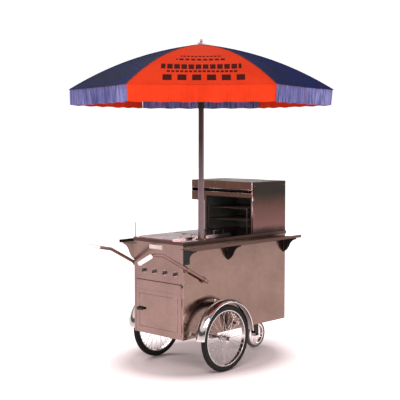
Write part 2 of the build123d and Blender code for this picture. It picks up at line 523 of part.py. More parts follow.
# ---------------------------------------------------------------- wheels and fenders
for side, centre in (("right", WHEEL_NEAR), ("left", WHEEL_FAR)):
    wheel_plane = Plane(origin=(WHEEL_X, centre, WHEEL_RADIUS), x_dir=(1, 0, 0), z_dir=(0, -1, 0))
    section = Plane(origin=(WHEEL_X, centre, WHEEL_RADIUS), x_dir=(0, 1, 0), z_dir=(1, 0, 0))
    spin = Axis((WHEEL_X, centre, WHEEL_RADIUS), (0, 1, 0))
    with BuildPart() as tyre:
        with BuildSketch(section):
            with Locations((0, WHEEL_RADIUS - TYRE_RADIUS)):
                Circle(TYRE_RADIUS)
            with Locations((0, (RIM_SEAT + SEAT_GAP + RIM_RADIUS + 6) / 2)):
                Rectangle(25.4, RIM_RADIUS + 6 - RIM_SEAT - SEAT_GAP)
            for sign in (-1, 1):
                with Locations((sign * 22.7, RIM_RADIUS - 9.6)):
                    Rectangle(20, 20, mode=Mode.SUBTRACT)
        revolve(axis=spin)
    tyre.part.label = f"tyre_{side}"
    export_step(tyre.part, f"parts/tyre_{side}.step")

    with BuildPart() as rim:
        with BuildSketch(section):
            with Locations((0, (RIM_SEAT + RIM_BORE) / 2)):
                Rectangle(2 * RIM_HALF, RIM_SEAT - RIM_BORE)
            for sign in (-1, 1):
                with Locations((sign * (RIM_HALF - 1.25), (RIM_RADIUS + RIM_SEAT) / 2)):
                    Rectangle(2.5, RIM_RADIUS - RIM_SEAT)
        revolve(axis=spin)
        fillet(rim.edges().filter_by(GeomType.CIRCLE).group_by(SortBy.RADIUS)[0], 2)
    rim.part.label = f"rim_{side}"
    export_step(rim.part, f"parts/rim_{side}.step")

    with BuildPart() as hub:
        with BuildSketch(wheel_plane.offset(-HUB_HALF)):
            Circle(HUB_RADIUS)
            Circle(AXLE_RADIUS + RUNNING_GAP, mode=Mode.SUBTRACT)
        extrude(amount=2 * HUB_HALF)
        for flange in (-HUB_HALF + 3, HUB_HALF - 7):
            with BuildSketch(wheel_plane.offset(flange)):
                Circle(HUB_FLANGE_RADIUS)
                Circle(HUB_RADIUS - 1, mode=Mode.SUBTRACT)
            extrude(amount=4)
        for i in range(SPOKE_COUNT):
            angle = radians(i * 360 / SPOKE_COUNT)
            flange_y = (HUB_HALF - 5) * (1 if i % 2 else -1)
            start = HUB_FLANGE_RADIUS + SEAT_GAP
            end = RIM_BORE - SEAT_GAP
            rod((WHEEL_X + start * cos(angle), centre + flange_y, WHEEL_RADIUS + start * sin(angle)),
                (WHEEL_X + end * cos(angle), centre + flange_y * 0.15, WHEEL_RADIUS + end * sin(angle)),
                SPOKE_RADIUS)
    hub.part.label = f"spoked_hub_{side}"
    export_step(hub.part, f"parts/spoked_hub_{side}.step")

FENDER_FOOT = WHEEL_RADIUS + 20
FENDER_EDGE = FENDER_RADIUS - FENDER_RISE
BEAD = 4.0
STAY_WIDTH = 22.0
STAY_THICK = 3.0
STAY_ANGLES = (12, 90, 168)  # from the cart's rear, over the top
with BuildPart() as fenders:
    for centre in (WHEEL_NEAR, WHEEL_FAR):
        under = FENDER_EDGE - SHEET
        with BuildSketch(Plane(origin=(WHEEL_X, centre, WHEEL_RADIUS), x_dir=(0, 1, 0), z_dir=(1, 0, 0))):
            with BuildLine():
                ThreePointArc((-FENDER_HALF, FENDER_EDGE), (0, FENDER_RADIUS), (FENDER_HALF, FENDER_EDGE))
                Line((FENDER_HALF, FENDER_EDGE), (FENDER_HALF, under))
                ThreePointArc((FENDER_HALF, under), (0, FENDER_RADIUS - SHEET), (-FENDER_HALF, under))
                Line((-FENDER_HALF, under), (-FENDER_HALF, FENDER_EDGE))
            make_face()
            with Locations((-FENDER_HALF, FENDER_EDGE - 1), (FENDER_HALF, FENDER_EDGE - 1)):
                Circle(BEAD)
        revolve(axis=Axis((WHEEL_X, centre, WHEEL_RADIUS), (0, 1, 0)))
    far_out = FENDER_RADIUS + 50
    block((WHEEL_X - far_out, WHEEL_X + far_out),
          (WHEEL_NEAR - FENDER_HALF - 50, WHEEL_FAR + FENDER_HALF + 50),
          (WHEEL_RADIUS - far_out, FENDER_FOOT), Mode.SUBTRACT)
    for wall, centre, out in ((NEAR, WHEEL_NEAR, -1), (FAR, WHEEL_FAR, 1)):
        reach = abs(centre - wall) - FENDER_HALF
        for angle in STAY_ANGLES:
            c, s = cos(radians(angle)), sin(radians(angle))
            foot = Plane(origin=(WHEEL_X + (FENDER_EDGE - 1) * c, wall, WHEEL_RADIUS + (FENDER_EDGE - 1) * s),
                         x_dir=(-s, 0, c), z_dir=(0, out, 0))
            for width, height, amount in ((STAY_WIDTH, STAY_THICK, reach), (STAY_WIDTH, 24, 2.5)):
                with BuildSketch(foot) as section:
                    Rectangle(width, height)
                extrude(section.sketch, amount=amount)
fenders.part.label = "fenders"
export_step(fenders.part, "parts/fenders.step")

# ---------------------------------------------------------------- caster
CASTER_WHEEL_X = CASTER_X + CASTER_TRAIL
PLATE = (BODY_BOTTOM - 6, BODY_BOTTOM)
FORK_TOP = PLATE[0] - SEAT_GAP
FORK_HALF = CASTER_HALF + 6
CASTER_BORE = 6.0
with BuildPart() as caster_plate:
    block((CASTER_X - 55, CASTER_X + 55), (BODY_CENTRE - 42, BODY_CENTRE + 42), PLATE)
caster_plate.part.label = "caster_plate"
export_step(caster_plate.part, "parts/caster_plate.step")

with BuildPart() as caster_fork:
    rod((CASTER_X, BODY_CENTRE, FORK_TOP - 12), (CASTER_X, BODY_CENTRE, FORK_TOP), 32)
    block((CASTER_X - 26, CASTER_X + 70), (BODY_CENTRE - FORK_HALF - 4, BODY_CENTRE + FORK_HALF + 4),
          (FORK_TOP - 18, FORK_TOP - 12))
    for y in (BODY_CENTRE - FORK_HALF - 4, BODY_CENTRE + FORK_HALF):
        with BuildSketch(Plane.XZ.offset(-y - 4)):
            with BuildLine():
                Polyline((CASTER_X - 26, FORK_TOP - 12), (CASTER_X + 70, FORK_TOP - 12),
                         (CASTER_WHEEL_X + 16, CASTER_RADIUS - 10), (CASTER_WHEEL_X - 14, CASTER_RADIUS - 10),
                         (CASTER_X - 26, FORK_TOP - 12))
            make_face()
        extrude(amount=4)
    rod((CASTER_WHEEL_X, BODY_CENTRE - FORK_HALF - 10, CASTER_RADIUS),
        (CASTER_WHEEL_X, BODY_CENTRE + FORK_HALF + 10, CASTER_RADIUS), CASTER_BORE)
caster_fork.part.label = "caster_fork"
export_step(caster_fork.part, "parts/caster_fork.step")

TREAD = 18.0
caster_plane = Plane(origin=(CASTER_WHEEL_X, BODY_CENTRE, CASTER_RADIUS), x_dir=(1, 0, 0), z_dir=(0, -1, 0))
with BuildPart() as caster_tyre:
    with BuildSketch(caster_plane.offset(-CASTER_HALF)):
        Circle(CASTER_RADIUS)
        Circle(CASTER_RADIUS - TREAD, mode=Mode.SUBTRACT)
    extrude(amount=2 * CASTER_HALF)
    fillet(caster_tyre.edges().filter_by(GeomType.CIRCLE).sort_by(SortBy.RADIUS)[-2:], 7)
caster_tyre.part.label = "caster_tyre"
export_step(caster_tyre.part, "parts/caster_tyre.step")

with BuildPart() as caster_rim:
    with BuildSketch(caster_plane.offset(-CASTER_HALF + 2)):
        Circle(CASTER_RADIUS - TREAD - SEAT_GAP)
        Circle(CASTER_RADIUS - TREAD - 12, mode=Mode.SUBTRACT)
    extrude(amount=2 * CASTER_HALF - 4)
    with BuildSketch(caster_plane.offset(-4)):
        Circle(CASTER_RADIUS - TREAD - 11)
        with PolarLocations(52, 6):
            Circle(15, mode=Mode.SUBTRACT)
    extrude(amount=8)
    with BuildSketch(caster_plane.offset(-CASTER_HALF - 5)):
        Circle(20)
    extrude(amount=2 * CASTER_HALF + 10)
    with BuildSketch(caster_plane.offset(-CASTER_HALF - 6)):
        Circle(CASTER_BORE + RUNNING_GAP)
    extrude(amount=2 * CASTER_HALF + 12, mode=Mode.SUBTRACT)
caster_rim.part.label = "caster_rim"
export_step(caster_rim.part, "parts/caster_rim.step")

# ---------------------------------------------------------------- push handles
HANDLE_STANDOFF = 20.0       # arm's centre line from the side panel
ARM_FOOT = (-14.0, 683.0)
ARM_SHOULDER = (-480.0, 926.0)
GRIPS = {"near": (-575.0, 940.0, -706.0, 893.0), "far": (-575.0, 944.0, -708.0, 974.0)}
ARM_BEND = 45.0
CLAMP_RUN = (40.0, 250.0)    # distances along the arm from its foot
arm_slope = Vector(ARM_SHOULDER[0] - ARM_FOOT[0], 0, ARM_SHOULDER[1] - ARM_FOOT[1]).normalized()


def arm_points(y, end):
    knee_x, knee_z, tip_x, tip_z = GRIPS[end]
    return [(ARM_FOOT[0], y, ARM_FOOT[1]), (ARM_SHOULDER[0], y, ARM_SHOULDER[1]), (knee_x, y, knee_z),
            (tip_x, y, tip_z)]


ARMS = (("near", NEAR - HANDLE_STANDOFF, -1), ("far", FAR + HANDLE_STANDOFF, 1))
with BuildPart() as handle_bars:
    for end, y, out in ARMS:
        points = arm_points(y, end)
        with BuildLine() as route:
            FilletPolyline(*points, radius=ARM_BEND)
        with BuildSketch(Plane(origin=points[0], z_dir=arm_slope)):
            Circle(HANDLE_RADIUS)
            Circle(HANDLE_RADIUS - 2, mode=Mode.SUBTRACT)
        sweep(path=route.wires()[0])
handle_bars.part.label = "handle_bars"
export_step(handle_bars.part, "parts/handle_bars.step")

with BuildPart() as handle_grips:
    for end, y, out in ARMS:
        knee, tip = (Vector(*p) for p in arm_points(y, end)[2:])
        along = (tip - knee).normalized()
        start = tip - along * (GRIP_LENGTH - 35)
        with BuildSketch(Plane(origin=start, z_dir=along)):
            Circle(GRIP_RADIUS)
        extrude(amount=GRIP_LENGTH - 30)
        with BuildSketch(Plane(origin=start, z_dir=along)):
            Circle(HANDLE_RADIUS + RUNNING_GAP)
        extrude(amount=GRIP_LENGTH - 35 + SEAT_GAP, mode=Mode.SUBTRACT)
    fillet(handle_grips.edges().filter_by(GeomType.CIRCLE).group_by(SortBy.RADIUS)[-1], 3)
handle_grips.part.label = "handle_grips"
export_step(handle_grips.part, "parts/handle_grips.step")

with BuildPart() as handle_clamps:
    for end, y, out in ARMS:
        wall = NEAR if out < 0 else FAR
        for run in CLAMP_RUN:
            centre = Vector(ARM_FOOT[0], y, ARM_FOOT[1]) + arm_slope * run
            with BuildSketch(Plane(origin=centre - arm_slope * 14, x_dir=(0, 1, 0), z_dir=arm_slope)):
                with Locations(((wall - y) / 2, 0)):
                    Rectangle(abs(wall - y), 44)
                Circle(HANDLE_RADIUS + 4)
                Circle(HANDLE_RADIUS + RUNNING_GAP, mode=Mode.SUBTRACT)
            extrude(amount=28)
handle_clamps.part.label = "handle_clamps"
export_step(handle_clamps.part, "parts/handle_clamps.step")

with BuildPart() as corner_rod:
    rod((BODY_FRONT + 4, FAR - 6, COUNTER_TOP), (BODY_FRONT + 4, FAR - 6, COUNTER_TOP + 5), 9)
    rod((BODY_FRONT + 4, FAR - 6, COUNTER_TOP), (BODY_FRONT + 4, FAR - 6, COUNTER_TOP + 115), 4)
corner_rod.part.label = "corner_rod"
export_step(corner_rod.part, "parts/corner_rod.step")

# ---------------------------------------------------------------- umbrella
SOCKET_WALL = SOCKET_RADIUS - POLE_RADIUS - RUNNING_GAP
SOCKET_FOOT = POLE_FOOT - SEAT_GAP - 4
with BuildPart() as umbrella_socket:
    rod((0, 0, SOCKET_FOOT), (0, 0, COUNTER_TOP + 30), SOCKET_RADIUS)
    rod((0, 0, COUNTER_TOP + SEAT_GAP), (0, 0, COUNTER_TOP + 5), SOCKET_RADIUS + 16)
    rod((0, 0, POLE_FOOT - SEAT_GAP), (0, 0, COUNTER_TOP + 31), POLE_RADIUS + RUNNING_GAP, Mode.SUBTRACT)
    block((-25, 25), (INNER_NEAR, -SOCKET_RADIUS + 1), (SOCKET_FOOT, SOCKET_FOOT + 30))
umbrella_socket.part.label = "umbrella_socket"
export_step(umbrella_socket.part, "parts/umbrella_socket.step")

CROWN_FOOT = CANOPY_TOP - 30
CROWN_RADIUS = 20.0
UPPER_FOOT = POLE_JOINT - 120
with BuildPart() as pole:
    rod((0, 0, POLE_FOOT), (0, 0, POLE_JOINT), POLE_RADIUS)
    rod((0, 0, POLE_FOOT - 1), (0, 0, POLE_JOINT + 1), UPPER_POLE_RADIUS + RUNNING_GAP, Mode.SUBTRACT)
    rod((0, 0, UPPER_FOOT), (0, 0, CROWN_FOOT - SEAT_GAP), UPPER_POLE_RADIUS)
    rod((0, 0, UPPER_FOOT - 1), (0, 0, CROWN_FOOT + 1), UPPER_POLE_RADIUS - 2, Mode.SUBTRACT)
pole.part.label = "pole"
export_step(pole.part, "parts/pole.step")


def canopy_drop(share):
    """Fall of the canopy below its top at a share of its radius, as a part of the whole fall."""
    return 0.34 * share + 0.66 * share ** 2.2


def canopy_z(radius):
    return CANOPY_TOP - (CANOPY_TOP - CANOPY_RIM) * canopy_drop(radius / CANOPY_RADIUS)


def around(radius, side, z, azimuth):
    """A point at a radius along a rib's direction, with a sideways offset."""
    a = radians(azimuth)
    return (radius * cos(a) - side * sin(a), radius * sin(a) + side * cos(a), z)


RIB_AZIMUTHS = [PANEL_AZIMUTH + 30 + i * 360 / RIB_COUNT for i in range(RIB_COUNT)]
EYE_RADIUS = 5.0
EYE_BORE = 1.6
EYE_HALF = RIB_HALF + 0.2
RIB_TIP = CANOPY_RADIUS - 14
RIB_HINGE_Z = canopy_z(RIB_HINGE) - RIB_DROP
FORK_RADIUS = 455.0
FORK_Z = canopy_z(FORK_RADIUS) - RIB_DROP
RUNNER_Z = FORK_Z - sqrt(STRETCHER_LENGTH ** 2 - (FORK_RADIUS - STRETCHER_HINGE) ** 2)


def hinge_lug(radius, side, z, azimuth, inner):
    """A lug beside an eye, with a pin through the eye, in the current part."""
    near_face = side + EYE_HALF + SEAT_GAP
    plane = Plane(origin=(0, 0, z - EYE_RADIUS), x_dir=(cos(radians(azimuth)), sin(radians(azimuth)), 0),
                  z_dir=(0, 0, 1))
    with BuildSketch(plane) as outline:
        with Locations(((inner + radius + 4) / 2, near_face + 1.75)):
            Rectangle(radius + 4 - inner, 3.5)
    extrude(outline.sketch, amount=2 * EYE_RADIUS)
    rod(around(radius, side - EYE_HALF, z, azimuth), around(radius, near_face + 1, z, azimuth),
        EYE_BORE - RUNNING_GAP)


with BuildPart() as crown:
    rod((0, 0, CROWN_FOOT), (0, 0, CANOPY_TOP + 6), CROWN_RADIUS)
    rod((0, 0, CANOPY_TOP + 3), (0, 0, CANOPY_TOP + 7), 34)
    rod((0, 0, CANOPY_TOP + 6), (0, 0, FINIAL_TOP - FINIAL_RADIUS), 6)
    with Locations((0, 0, FINIAL_TOP - FINIAL_RADIUS)):
        Sphere(FINIAL_RADIUS)
    for azimuth in RIB_AZIMUTHS:
        hinge_lug(RIB_HINGE, 0, RIB_HINGE_Z, azimuth, 12)
crown.part.label = "crown"
export_step(crown.part, "parts/crown.step")

with BuildPart() as runner:
    rod((0, 0, RUNNER_Z - 55), (0, 0, RUNNER_Z + 12), UPPER_POLE_RADIUS + 6)
    rod((0, 0, RUNNER_Z - 10), (0, 0, RUNNER_Z + 10), UPPER_POLE_RADIUS + 12)
    rod((0, 0, RUNNER_Z - 56), (0, 0, RUNNER_Z + 13), UPPER_POLE_RADIUS + 2 * RUNNING_GAP, Mode.SUBTRACT)
    for azimuth in RIB_AZIMUTHS:
        hinge_lug(STRETCHER_HINGE, STRETCHER_OFFSET, RUNNER_Z, azimuth, UPPER_POLE_RADIUS + 5)
runner.part.label = "runner"
export_step(runner.part, "parts/runner.step")

for i, azimuth in enumerate(RIB_AZIMUTHS):
    a = radians(azimuth)
    with BuildPart() as rib:
        rod(around(RIB_HINGE, -EYE_HALF, RIB_HINGE_Z, azimuth),
            around(RIB_HINGE, EYE_HALF, RIB_HINGE_Z, azimuth),
            EYE_RADIUS)
        start = around(RIB_HINGE, 0, RIB_HINGE_Z, azimuth)
        bend = around(CANOPY_RADIUS / 2, 0, canopy_z(CANOPY_RADIUS / 2) - RIB_DROP, azimuth)
        tip = around(RIB_TIP, 0, canopy_z(RIB_TIP) - RIB_DROP, azimuth)
        with BuildLine() as bow:
            ThreePointArc(start, bend, tip)
        with BuildSketch(Plane(origin=start, x_dir=(-sin(a), cos(a), 0), z_dir=bow.edges()[0].tangent_at(0))):
            Rectangle(2 * RIB_HALF, 2 * RIB_HALF)
        sweep(path=bow.wires()[0])
        rod(around(RIB_HINGE, -EYE_HALF - 1, RIB_HINGE_Z, azimuth),
            around(RIB_HINGE, EYE_HALF + 1, RIB_HINGE_Z, azimuth), EYE_BORE, Mode.SUBTRACT)
        rod(around(FORK_RADIUS, 0, FORK_Z, azimuth),
            around(FORK_RADIUS, STRETCHER_OFFSET - EYE_HALF - SEAT_GAP, FORK_Z, azimuth), 3)
    rib.part.label = f"rib_{i + 1}"
    export_step(rib.part, f"parts/rib_{i + 1}.step")

    with BuildPart() as stretcher:
        low, high = (STRETCHER_HINGE, RUNNER_Z), (FORK_RADIUS, FORK_Z)
        for radius, z in (low, high):
            rod(around(radius, STRETCHER_OFFSET - EYE_HALF, z, azimuth),
                around(radius, STRETCHER_OFFSET + EYE_HALF, z, azimuth), EYE_RADIUS)
        rod(around(low[0], STRETCHER_OFFSET, low[1], azimuth),
            around(high[0], STRETCHER_OFFSET, high[1], azimuth),
            STRETCHER_RADIUS)
        rod(around(low[0], STRETCHER_OFFSET - EYE_HALF - 1, low[1], azimuth),
            around(low[0], STRETCHER_OFFSET + EYE_HALF + 1, low[1], azimuth), EYE_BORE, Mode.SUBTRACT)
    stretcher.part.label = f"stretcher_{i + 1}"
    export_step(stretcher.part, f"parts/stretcher_{i + 1}.step")

# Each canopy panel is flat along the rim's direction and curved from top to rim.
PANEL_GAP = 0.4
VALANCE_GAP = 8.0
CANOPY_BORE = 26.0
RIM_MID = CANOPY_RADIUS * COS30
RIM_HALF_WIDTH = CANOPY_RADIUS * SIN30
VALANCE_FOOT = CANOPY_RIM - VALANCE
with BuildPart() as canopy_panel:
    with BuildSketch(Plane.XZ):
        with BuildLine():
            outline = [(r * COS30, canopy_z(r)) for r in (CANOPY_BORE, CANOPY_RADIUS / 2, CANOPY_RADIUS)]
            lower = [(x, z - CANOPY_THICK) for x, z in outline]
            hem = (RIM_MID - CANOPY_THICK, CANOPY_RIM - CANOPY_THICK)
            ThreePointArc(*outline)
            Polyline(outline[2], lower[2], hem)
            ThreePointArc(hem, lower[1], lower[0])
            Line(lower[0], outline[0])
        make_face()
    extrude(amount=RIM_HALF_WIDTH + 5, both=True)
    block((RIM_MID - CANOPY_THICK, RIM_MID), (VALANCE_GAP - RIM_HALF_WIDTH, RIM_HALF_WIDTH - VALANCE_GAP),
          (VALANCE_FOOT, CANOPY_RIM - CANOPY_THICK / 2))
    with BuildSketch(Plane.XY.offset(VALANCE_FOOT - 5)):
        with BuildLine():
            start = PANEL_GAP / SIN30
            reach = CANOPY_RADIUS + 20
            Polyline((start, 0), (start + reach * COS30, reach * SIN30),
                     (start + reach * COS30, -reach * SIN30),
                     (start, 0))
        make_face()
    extrude(amount=CANOPY_TOP + 10 - VALANCE_FOOT, mode=Mode.INTERSECT)

for colour, turn in (("red", 0), ("blue", 60)):
    with BuildPart() as canopy:
        with PolarLocations(0, RIB_COUNT // 2, start_angle=PANEL_AZIMUTH + turn):
            add(canopy_panel.part)
    canopy.part.label = f"canopy_{colour}"
    export_step(canopy.part, f"parts/canopy_{colour}.step")
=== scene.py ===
import json
import math

import bpy
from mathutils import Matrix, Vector, noise

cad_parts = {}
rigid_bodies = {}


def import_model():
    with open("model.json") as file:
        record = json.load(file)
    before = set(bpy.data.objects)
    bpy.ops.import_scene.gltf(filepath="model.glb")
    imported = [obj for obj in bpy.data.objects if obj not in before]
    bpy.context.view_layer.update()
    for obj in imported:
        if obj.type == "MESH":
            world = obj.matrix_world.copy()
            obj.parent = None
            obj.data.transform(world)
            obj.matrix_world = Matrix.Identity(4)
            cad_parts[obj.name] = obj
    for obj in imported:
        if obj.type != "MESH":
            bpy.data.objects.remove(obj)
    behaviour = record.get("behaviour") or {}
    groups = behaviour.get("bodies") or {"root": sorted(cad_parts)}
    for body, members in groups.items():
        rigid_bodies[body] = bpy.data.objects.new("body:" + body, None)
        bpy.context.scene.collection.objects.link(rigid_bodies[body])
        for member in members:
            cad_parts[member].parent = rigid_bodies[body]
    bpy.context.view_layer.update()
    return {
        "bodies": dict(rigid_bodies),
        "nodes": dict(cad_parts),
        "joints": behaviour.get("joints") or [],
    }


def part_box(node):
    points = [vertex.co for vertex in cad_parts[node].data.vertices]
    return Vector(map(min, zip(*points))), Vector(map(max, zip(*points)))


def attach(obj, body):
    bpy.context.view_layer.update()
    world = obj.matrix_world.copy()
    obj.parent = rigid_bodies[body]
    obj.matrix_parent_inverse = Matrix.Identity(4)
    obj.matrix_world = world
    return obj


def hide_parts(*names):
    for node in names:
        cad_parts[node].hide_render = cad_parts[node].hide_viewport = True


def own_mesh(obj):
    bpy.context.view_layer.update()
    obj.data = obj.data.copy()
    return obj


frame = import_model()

NODES = frame["nodes"]
JOINTS = {j["name"]: j for j in frame["joints"]}
CAD_OBJECTS = set(NODES.values()) | set(frame["bodies"].values())
for extra in [o for o in bpy.data.objects if o not in CAD_OBJECTS]:
    bpy.data.objects.remove(extra)


# ---------------------------------------------------------------- small helpers
def srgb(r, g, b):
    """Linear colour of an 8-bit sRGB one."""
    def linear(v):
        v /= 255
        return v / 12.92 if v <= 0.04045 else ((v + 0.055) / 1.055) ** 2.4
    return (linear(r), linear(g), linear(b), 1.0)


def new_object(name, verts, faces, smooth=False):
    mesh = bpy.data.meshes.new(name)
    mesh.from_pydata([tuple(v) for v in verts], [], faces)
    mesh.validate()
    mesh.update()
    for polygon in mesh.polygons:
        polygon.use_smooth = smooth
    obj = bpy.data.objects.new(name, mesh)
    bpy.context.scene.collection.objects.link(obj)
    return obj


class Shape:
    """Gathers boxes, domes, tubes and discs into one mesh."""

    def __init__(self):
        self.verts, self.faces = [], []

    def add(self, verts, faces):
        base = len(self.verts)
        self.verts += [Vector(v) for v in verts]
        self.faces += [tuple(base + i for i in f) for f in faces]

    def box(self, low, high):
        """A block between two corners."""
        x, y, z = zip(low, high)
        verts = [(x[i], y[j], z[k]) for i in (0, 1) for j in (0, 1) for k in (0, 1)]
        self.add(verts, [(0, 1, 3, 2), (4, 6, 7, 5), (0, 4, 5, 1), (2, 3, 7, 6), (0, 2, 6, 4), (1, 5, 7, 3)])

    def ring(self, centre, axis, profile, steps=24):
        """A closed shape turned about axis: profile is (radius, height) pairs, from axis to axis."""
        axis = Vector(axis).normalized()
        side = axis.orthogonal().normalized()
        other = axis.cross(side)
        verts, faces = [], []
        for radius, height in profile:
            for i in range(steps):
                a = 2 * math.pi * i / steps
                spoke = side * math.cos(a) + other * math.sin(a)
                verts.append(Vector(centre) + axis * height + spoke * radius)
        for row in range(len(profile) - 1):
            for i in range(steps):
                j = (i + 1) % steps
                faces.append((row * steps + i, row * steps + j, (row + 1) * steps + j, (row + 1) * steps + i))
        last = (len(profile) - 1) * steps
        faces.append(tuple(reversed(range(steps))))
        faces.append(tuple(range(last, last + steps)))
        self.add(verts, faces)

    def dome(self, centre, axis, radius, height, steps=12):
        """A quarter-ellipse turned about axis, with a tiny flat at its top."""
        rows = 4
        profile = []
        for row in range(rows + 1):
            turn = math.pi / 2 * row / rows
            profile.append((radius * math.cos(turn * 0.98), height * math.sin(turn)))
        self.ring(centre, axis, profile, steps)

    def tube(self, points, radius, steps=10):
        """A round bar along the points, closed at its ends."""
        points = [Vector(p) for p in points]
        verts, faces = [], []
        for i, p in enumerate(points):
            ahead = (points[min(i + 1, len(points) - 1)] - points[max(i - 1, 0)]).normalized()
            side = ahead.cross(Vector((0.13, 0.31, 0.94))).normalized()
            other = ahead.cross(side)
            for s in range(steps):
                a = 2 * math.pi * s / steps
                verts.append(p + (side * math.cos(a) + other * math.sin(a)) * radius)
        for i in range(len(points) - 1):
            for s in range(steps):
                t = (s + 1) % steps
                faces.append((i * steps + s, i * steps + t, (i + 1) * steps + t, (i + 1) * steps + s))
        last = (len(points) - 1) * steps
        faces.append(tuple(reversed(range(steps))))
        faces.append(tuple(range(last, last + steps)))
        self.add(verts, faces)

    def make(self, name, material, body, smooth=False, bevel=0.0):
        """Makes the object and has it ride on the body."""
        obj = new_object(name, self.verts, self.faces, smooth)
        obj.data.materials.append(material)
        if bevel:
            soften(obj, bevel)
        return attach(obj, body)


def soften(obj, width, segments=2):
    """Rounded edges, as pressed or sanded metal has."""
    bevel = obj.modifiers.new("edges", "BEVEL")
    bevel.width = width
    bevel.segments = segments
    bevel.limit_method = "ANGLE"
    bevel.angle_limit = math.radians(40)
    bevel.harden_normals = False
    return obj


# ---------------------------------------------------------------- materials
class Nodes:
    """A material's node tree, with short calls for the nodes used here."""

    def __init__(self, name):
        self.material = bpy.data.materials.new(name)
        self.material.use_nodes = True
        self.tree = self.material.node_tree
        self.shader = self.tree.nodes["Principled BSDF"]
        self.coords = self.node("ShaderNodeTexCoord").outputs["Object"]

    def node(self, kind, **settings):
        made = self.tree.nodes.new(kind)
        for key, value in settings.items():
            if key in made.inputs:
                made.inputs[key].default_value = value
            else:
                setattr(made, key, value)
        return made

    def link(self, source, target):
        self.tree.links.new(source, target)

    def mapped(self, scale):
        mapping = self.node("ShaderNodeMapping")
        mapping.inputs["Scale"].default_value = scale
        self.link(self.coords, mapping.inputs["Vector"])
        return mapping.outputs["Vector"]

    def noise(self, scale, detail=4.0, stretch=(1, 1, 1), roughness=0.6):
        tex = self.node("ShaderNodeTexNoise", Scale=scale, Detail=detail, Roughness=roughness)
        self.link(self.mapped(stretch), tex.inputs["Vector"])
        return tex.outputs["Fac"]

    def ramp(self, fac, stops):
        ramp = self.node("ShaderNodeValToRGB")
        elements = ramp.color_ramp.elements
        while len(elements) < len(stops):
            elements.new(0.5)
        for element, (place, colour) in zip(elements, stops):
            element.position = place
            element.color = colour
        self.link(fac, ramp.inputs["Fac"])
        return ramp.outputs["Color"]

    def remap(self, fac, low, high, out_low, out_high):
        node = self.node("ShaderNodeMapRange")
        for key, value in zip(("From Min", "From Max", "To Min", "To Max"), (low, high, out_low, out_high)):
            node.inputs[key].default_value = value
        self.link(fac, node.inputs["Value"])
        return node.outputs["Result"]

    def mix(self, fac, first, second, blend="MIX"):
        node = self.node("ShaderNodeMix", data_type="RGBA", blend_type=blend)
        for socket, value in ((node.inputs[0], fac), (node.inputs[6], first), (node.inputs[7], second)):
            if isinstance(value, bpy.types.NodeSocket):
                self.link(value, socket)
            else:
                socket.default_value = value
        return node.outputs[2]

    def math(self, operation, first, second=0.0):
        node = self.node("ShaderNodeMath", operation=operation)
        for socket, value in zip(node.inputs, (first, second)):
            if isinstance(value, bpy.types.NodeSocket):
                self.link(value, socket)
            else:
                socket.default_value = value
        return node.outputs[0]

    def axis(self, name, source=None):
        """One coordinate of source, or of the object."""
        split = self.node("ShaderNodeSeparateXYZ")
        self.link(source or self.coords, split.inputs[0])
        return split.outputs[name]

    def along(self, direction):
        """How far a point lies in a direction of the object."""
        dot = self.node("ShaderNodeVectorMath", operation="DOT_PRODUCT")
        dot.inputs[1].default_value = direction
        self.link(self.coords, dot.inputs[0])
        return dot.outputs["Value"]

    def set(self, **values):
        """Sets or links the shader's sockets."""
        for key, value in values.items():
            socket = self.shader.inputs[key.replace("_", " ")]
            if isinstance(value, bpy.types.NodeSocket):
                self.link(value, socket)
            else:
                socket.default_value = value

    def bump(self, height, strength, distance=0.001, below=None):
        bump = self.node("ShaderNodeBump", Strength=strength, Distance=distance)
        self.link(height, bump.inputs["Height"])
        if below:
            self.link(below, bump.inputs["Normal"])
        self.link(bump.outputs["Normal"], self.shader.inputs["Normal"])
        return bump.outputs["Normal"]


def darker(colour, share):
    """The colour times share, which may be over 1."""
    return tuple(c * share for c in colour[:3]) + (1.0,)


def sheet_steel(name, colour, rough=(0.14, 0.24), stretch=(3, 60, 240), waves=0.12, painted_shade=None):
    """Rolled stainless sheet: fine lines of the grain, faint smudges, and slow waves.

    The last argument is (direction, start, end, colour): a painted darkening, the metal turns that colour
    between two places along the direction; on the counter and lids it is a painted dark reflection of the
    oven, on the pole a painted shadow of the umbrella.
    """
    m = Nodes(name)
    smudge = m.noise(7, 6, roughness=0.7)
    grain = m.noise(9, 3, stretch)
    mottle = m.noise(3.4, 7, roughness=0.72)
    base = m.ramp(mottle, [(0.36, darker(colour, 0.84)), (0.66, darker(colour, 1.12))])
    if painted_shade:
        # painted darkening faded in along a direction, for painted dark reflections and painted shadows
        direction, unshaded_at, fully_shaded_at, shade_colour = painted_shade
        base = m.mix(m.remap(m.along(direction), unshaded_at, fully_shaded_at, 0.0, 1.0), base, shade_colour)
    lined = m.mix(m.remap(grain, 0.35, 0.75, 0.0, 0.16), base, darker(colour, 0.5))
    slow = m.node("ShaderNodeBump", Strength=waves, Distance=0.004)
    m.link(m.noise(3.1, 1.5), slow.inputs["Height"])
    m.bump(grain, 0.04, 0.0006, below=slow.outputs["Normal"])
    m.set(Base_Color=lined, Metallic=1.0, Roughness=m.remap(smudge, 0.3, 0.75, *rough), Anisotropic=0.3)
    return m.material


def oven_wall(name):
    """The oven's near wall: darker towards the top, warmer below, and painted shade where it meets the
    counter.
    """
    m = Nodes(name)
    low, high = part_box("countertop")[1].z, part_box("oven_header")[1].z
    height = m.remap(m.axis("Z"), low, high, 0.0, 1.0)
    uneven = m.math("ADD", height, m.math("MULTIPLY", m.noise(9, 5), 0.16))
    # The bottom stop of the ramp is painted shade where the wall meets the counter.
    colours = m.ramp(uneven, [
        (0.10, srgb(54, 38, 35)), (0.20, srgb(112, 79, 76)), (0.55, srgb(92, 62, 56)),
        (0.72, srgb(66, 48, 42)), (0.85, srgb(42, 35, 30))])
    m.bump(m.noise(9, 3, (60, 3, 200)), 0.06, 0.0006)
    m.set(Base_Color=colours, Metallic=0.9, Roughness=m.remap(m.noise(11, 6), 0.3, 0.7, 0.25, 0.42))
    return m.material


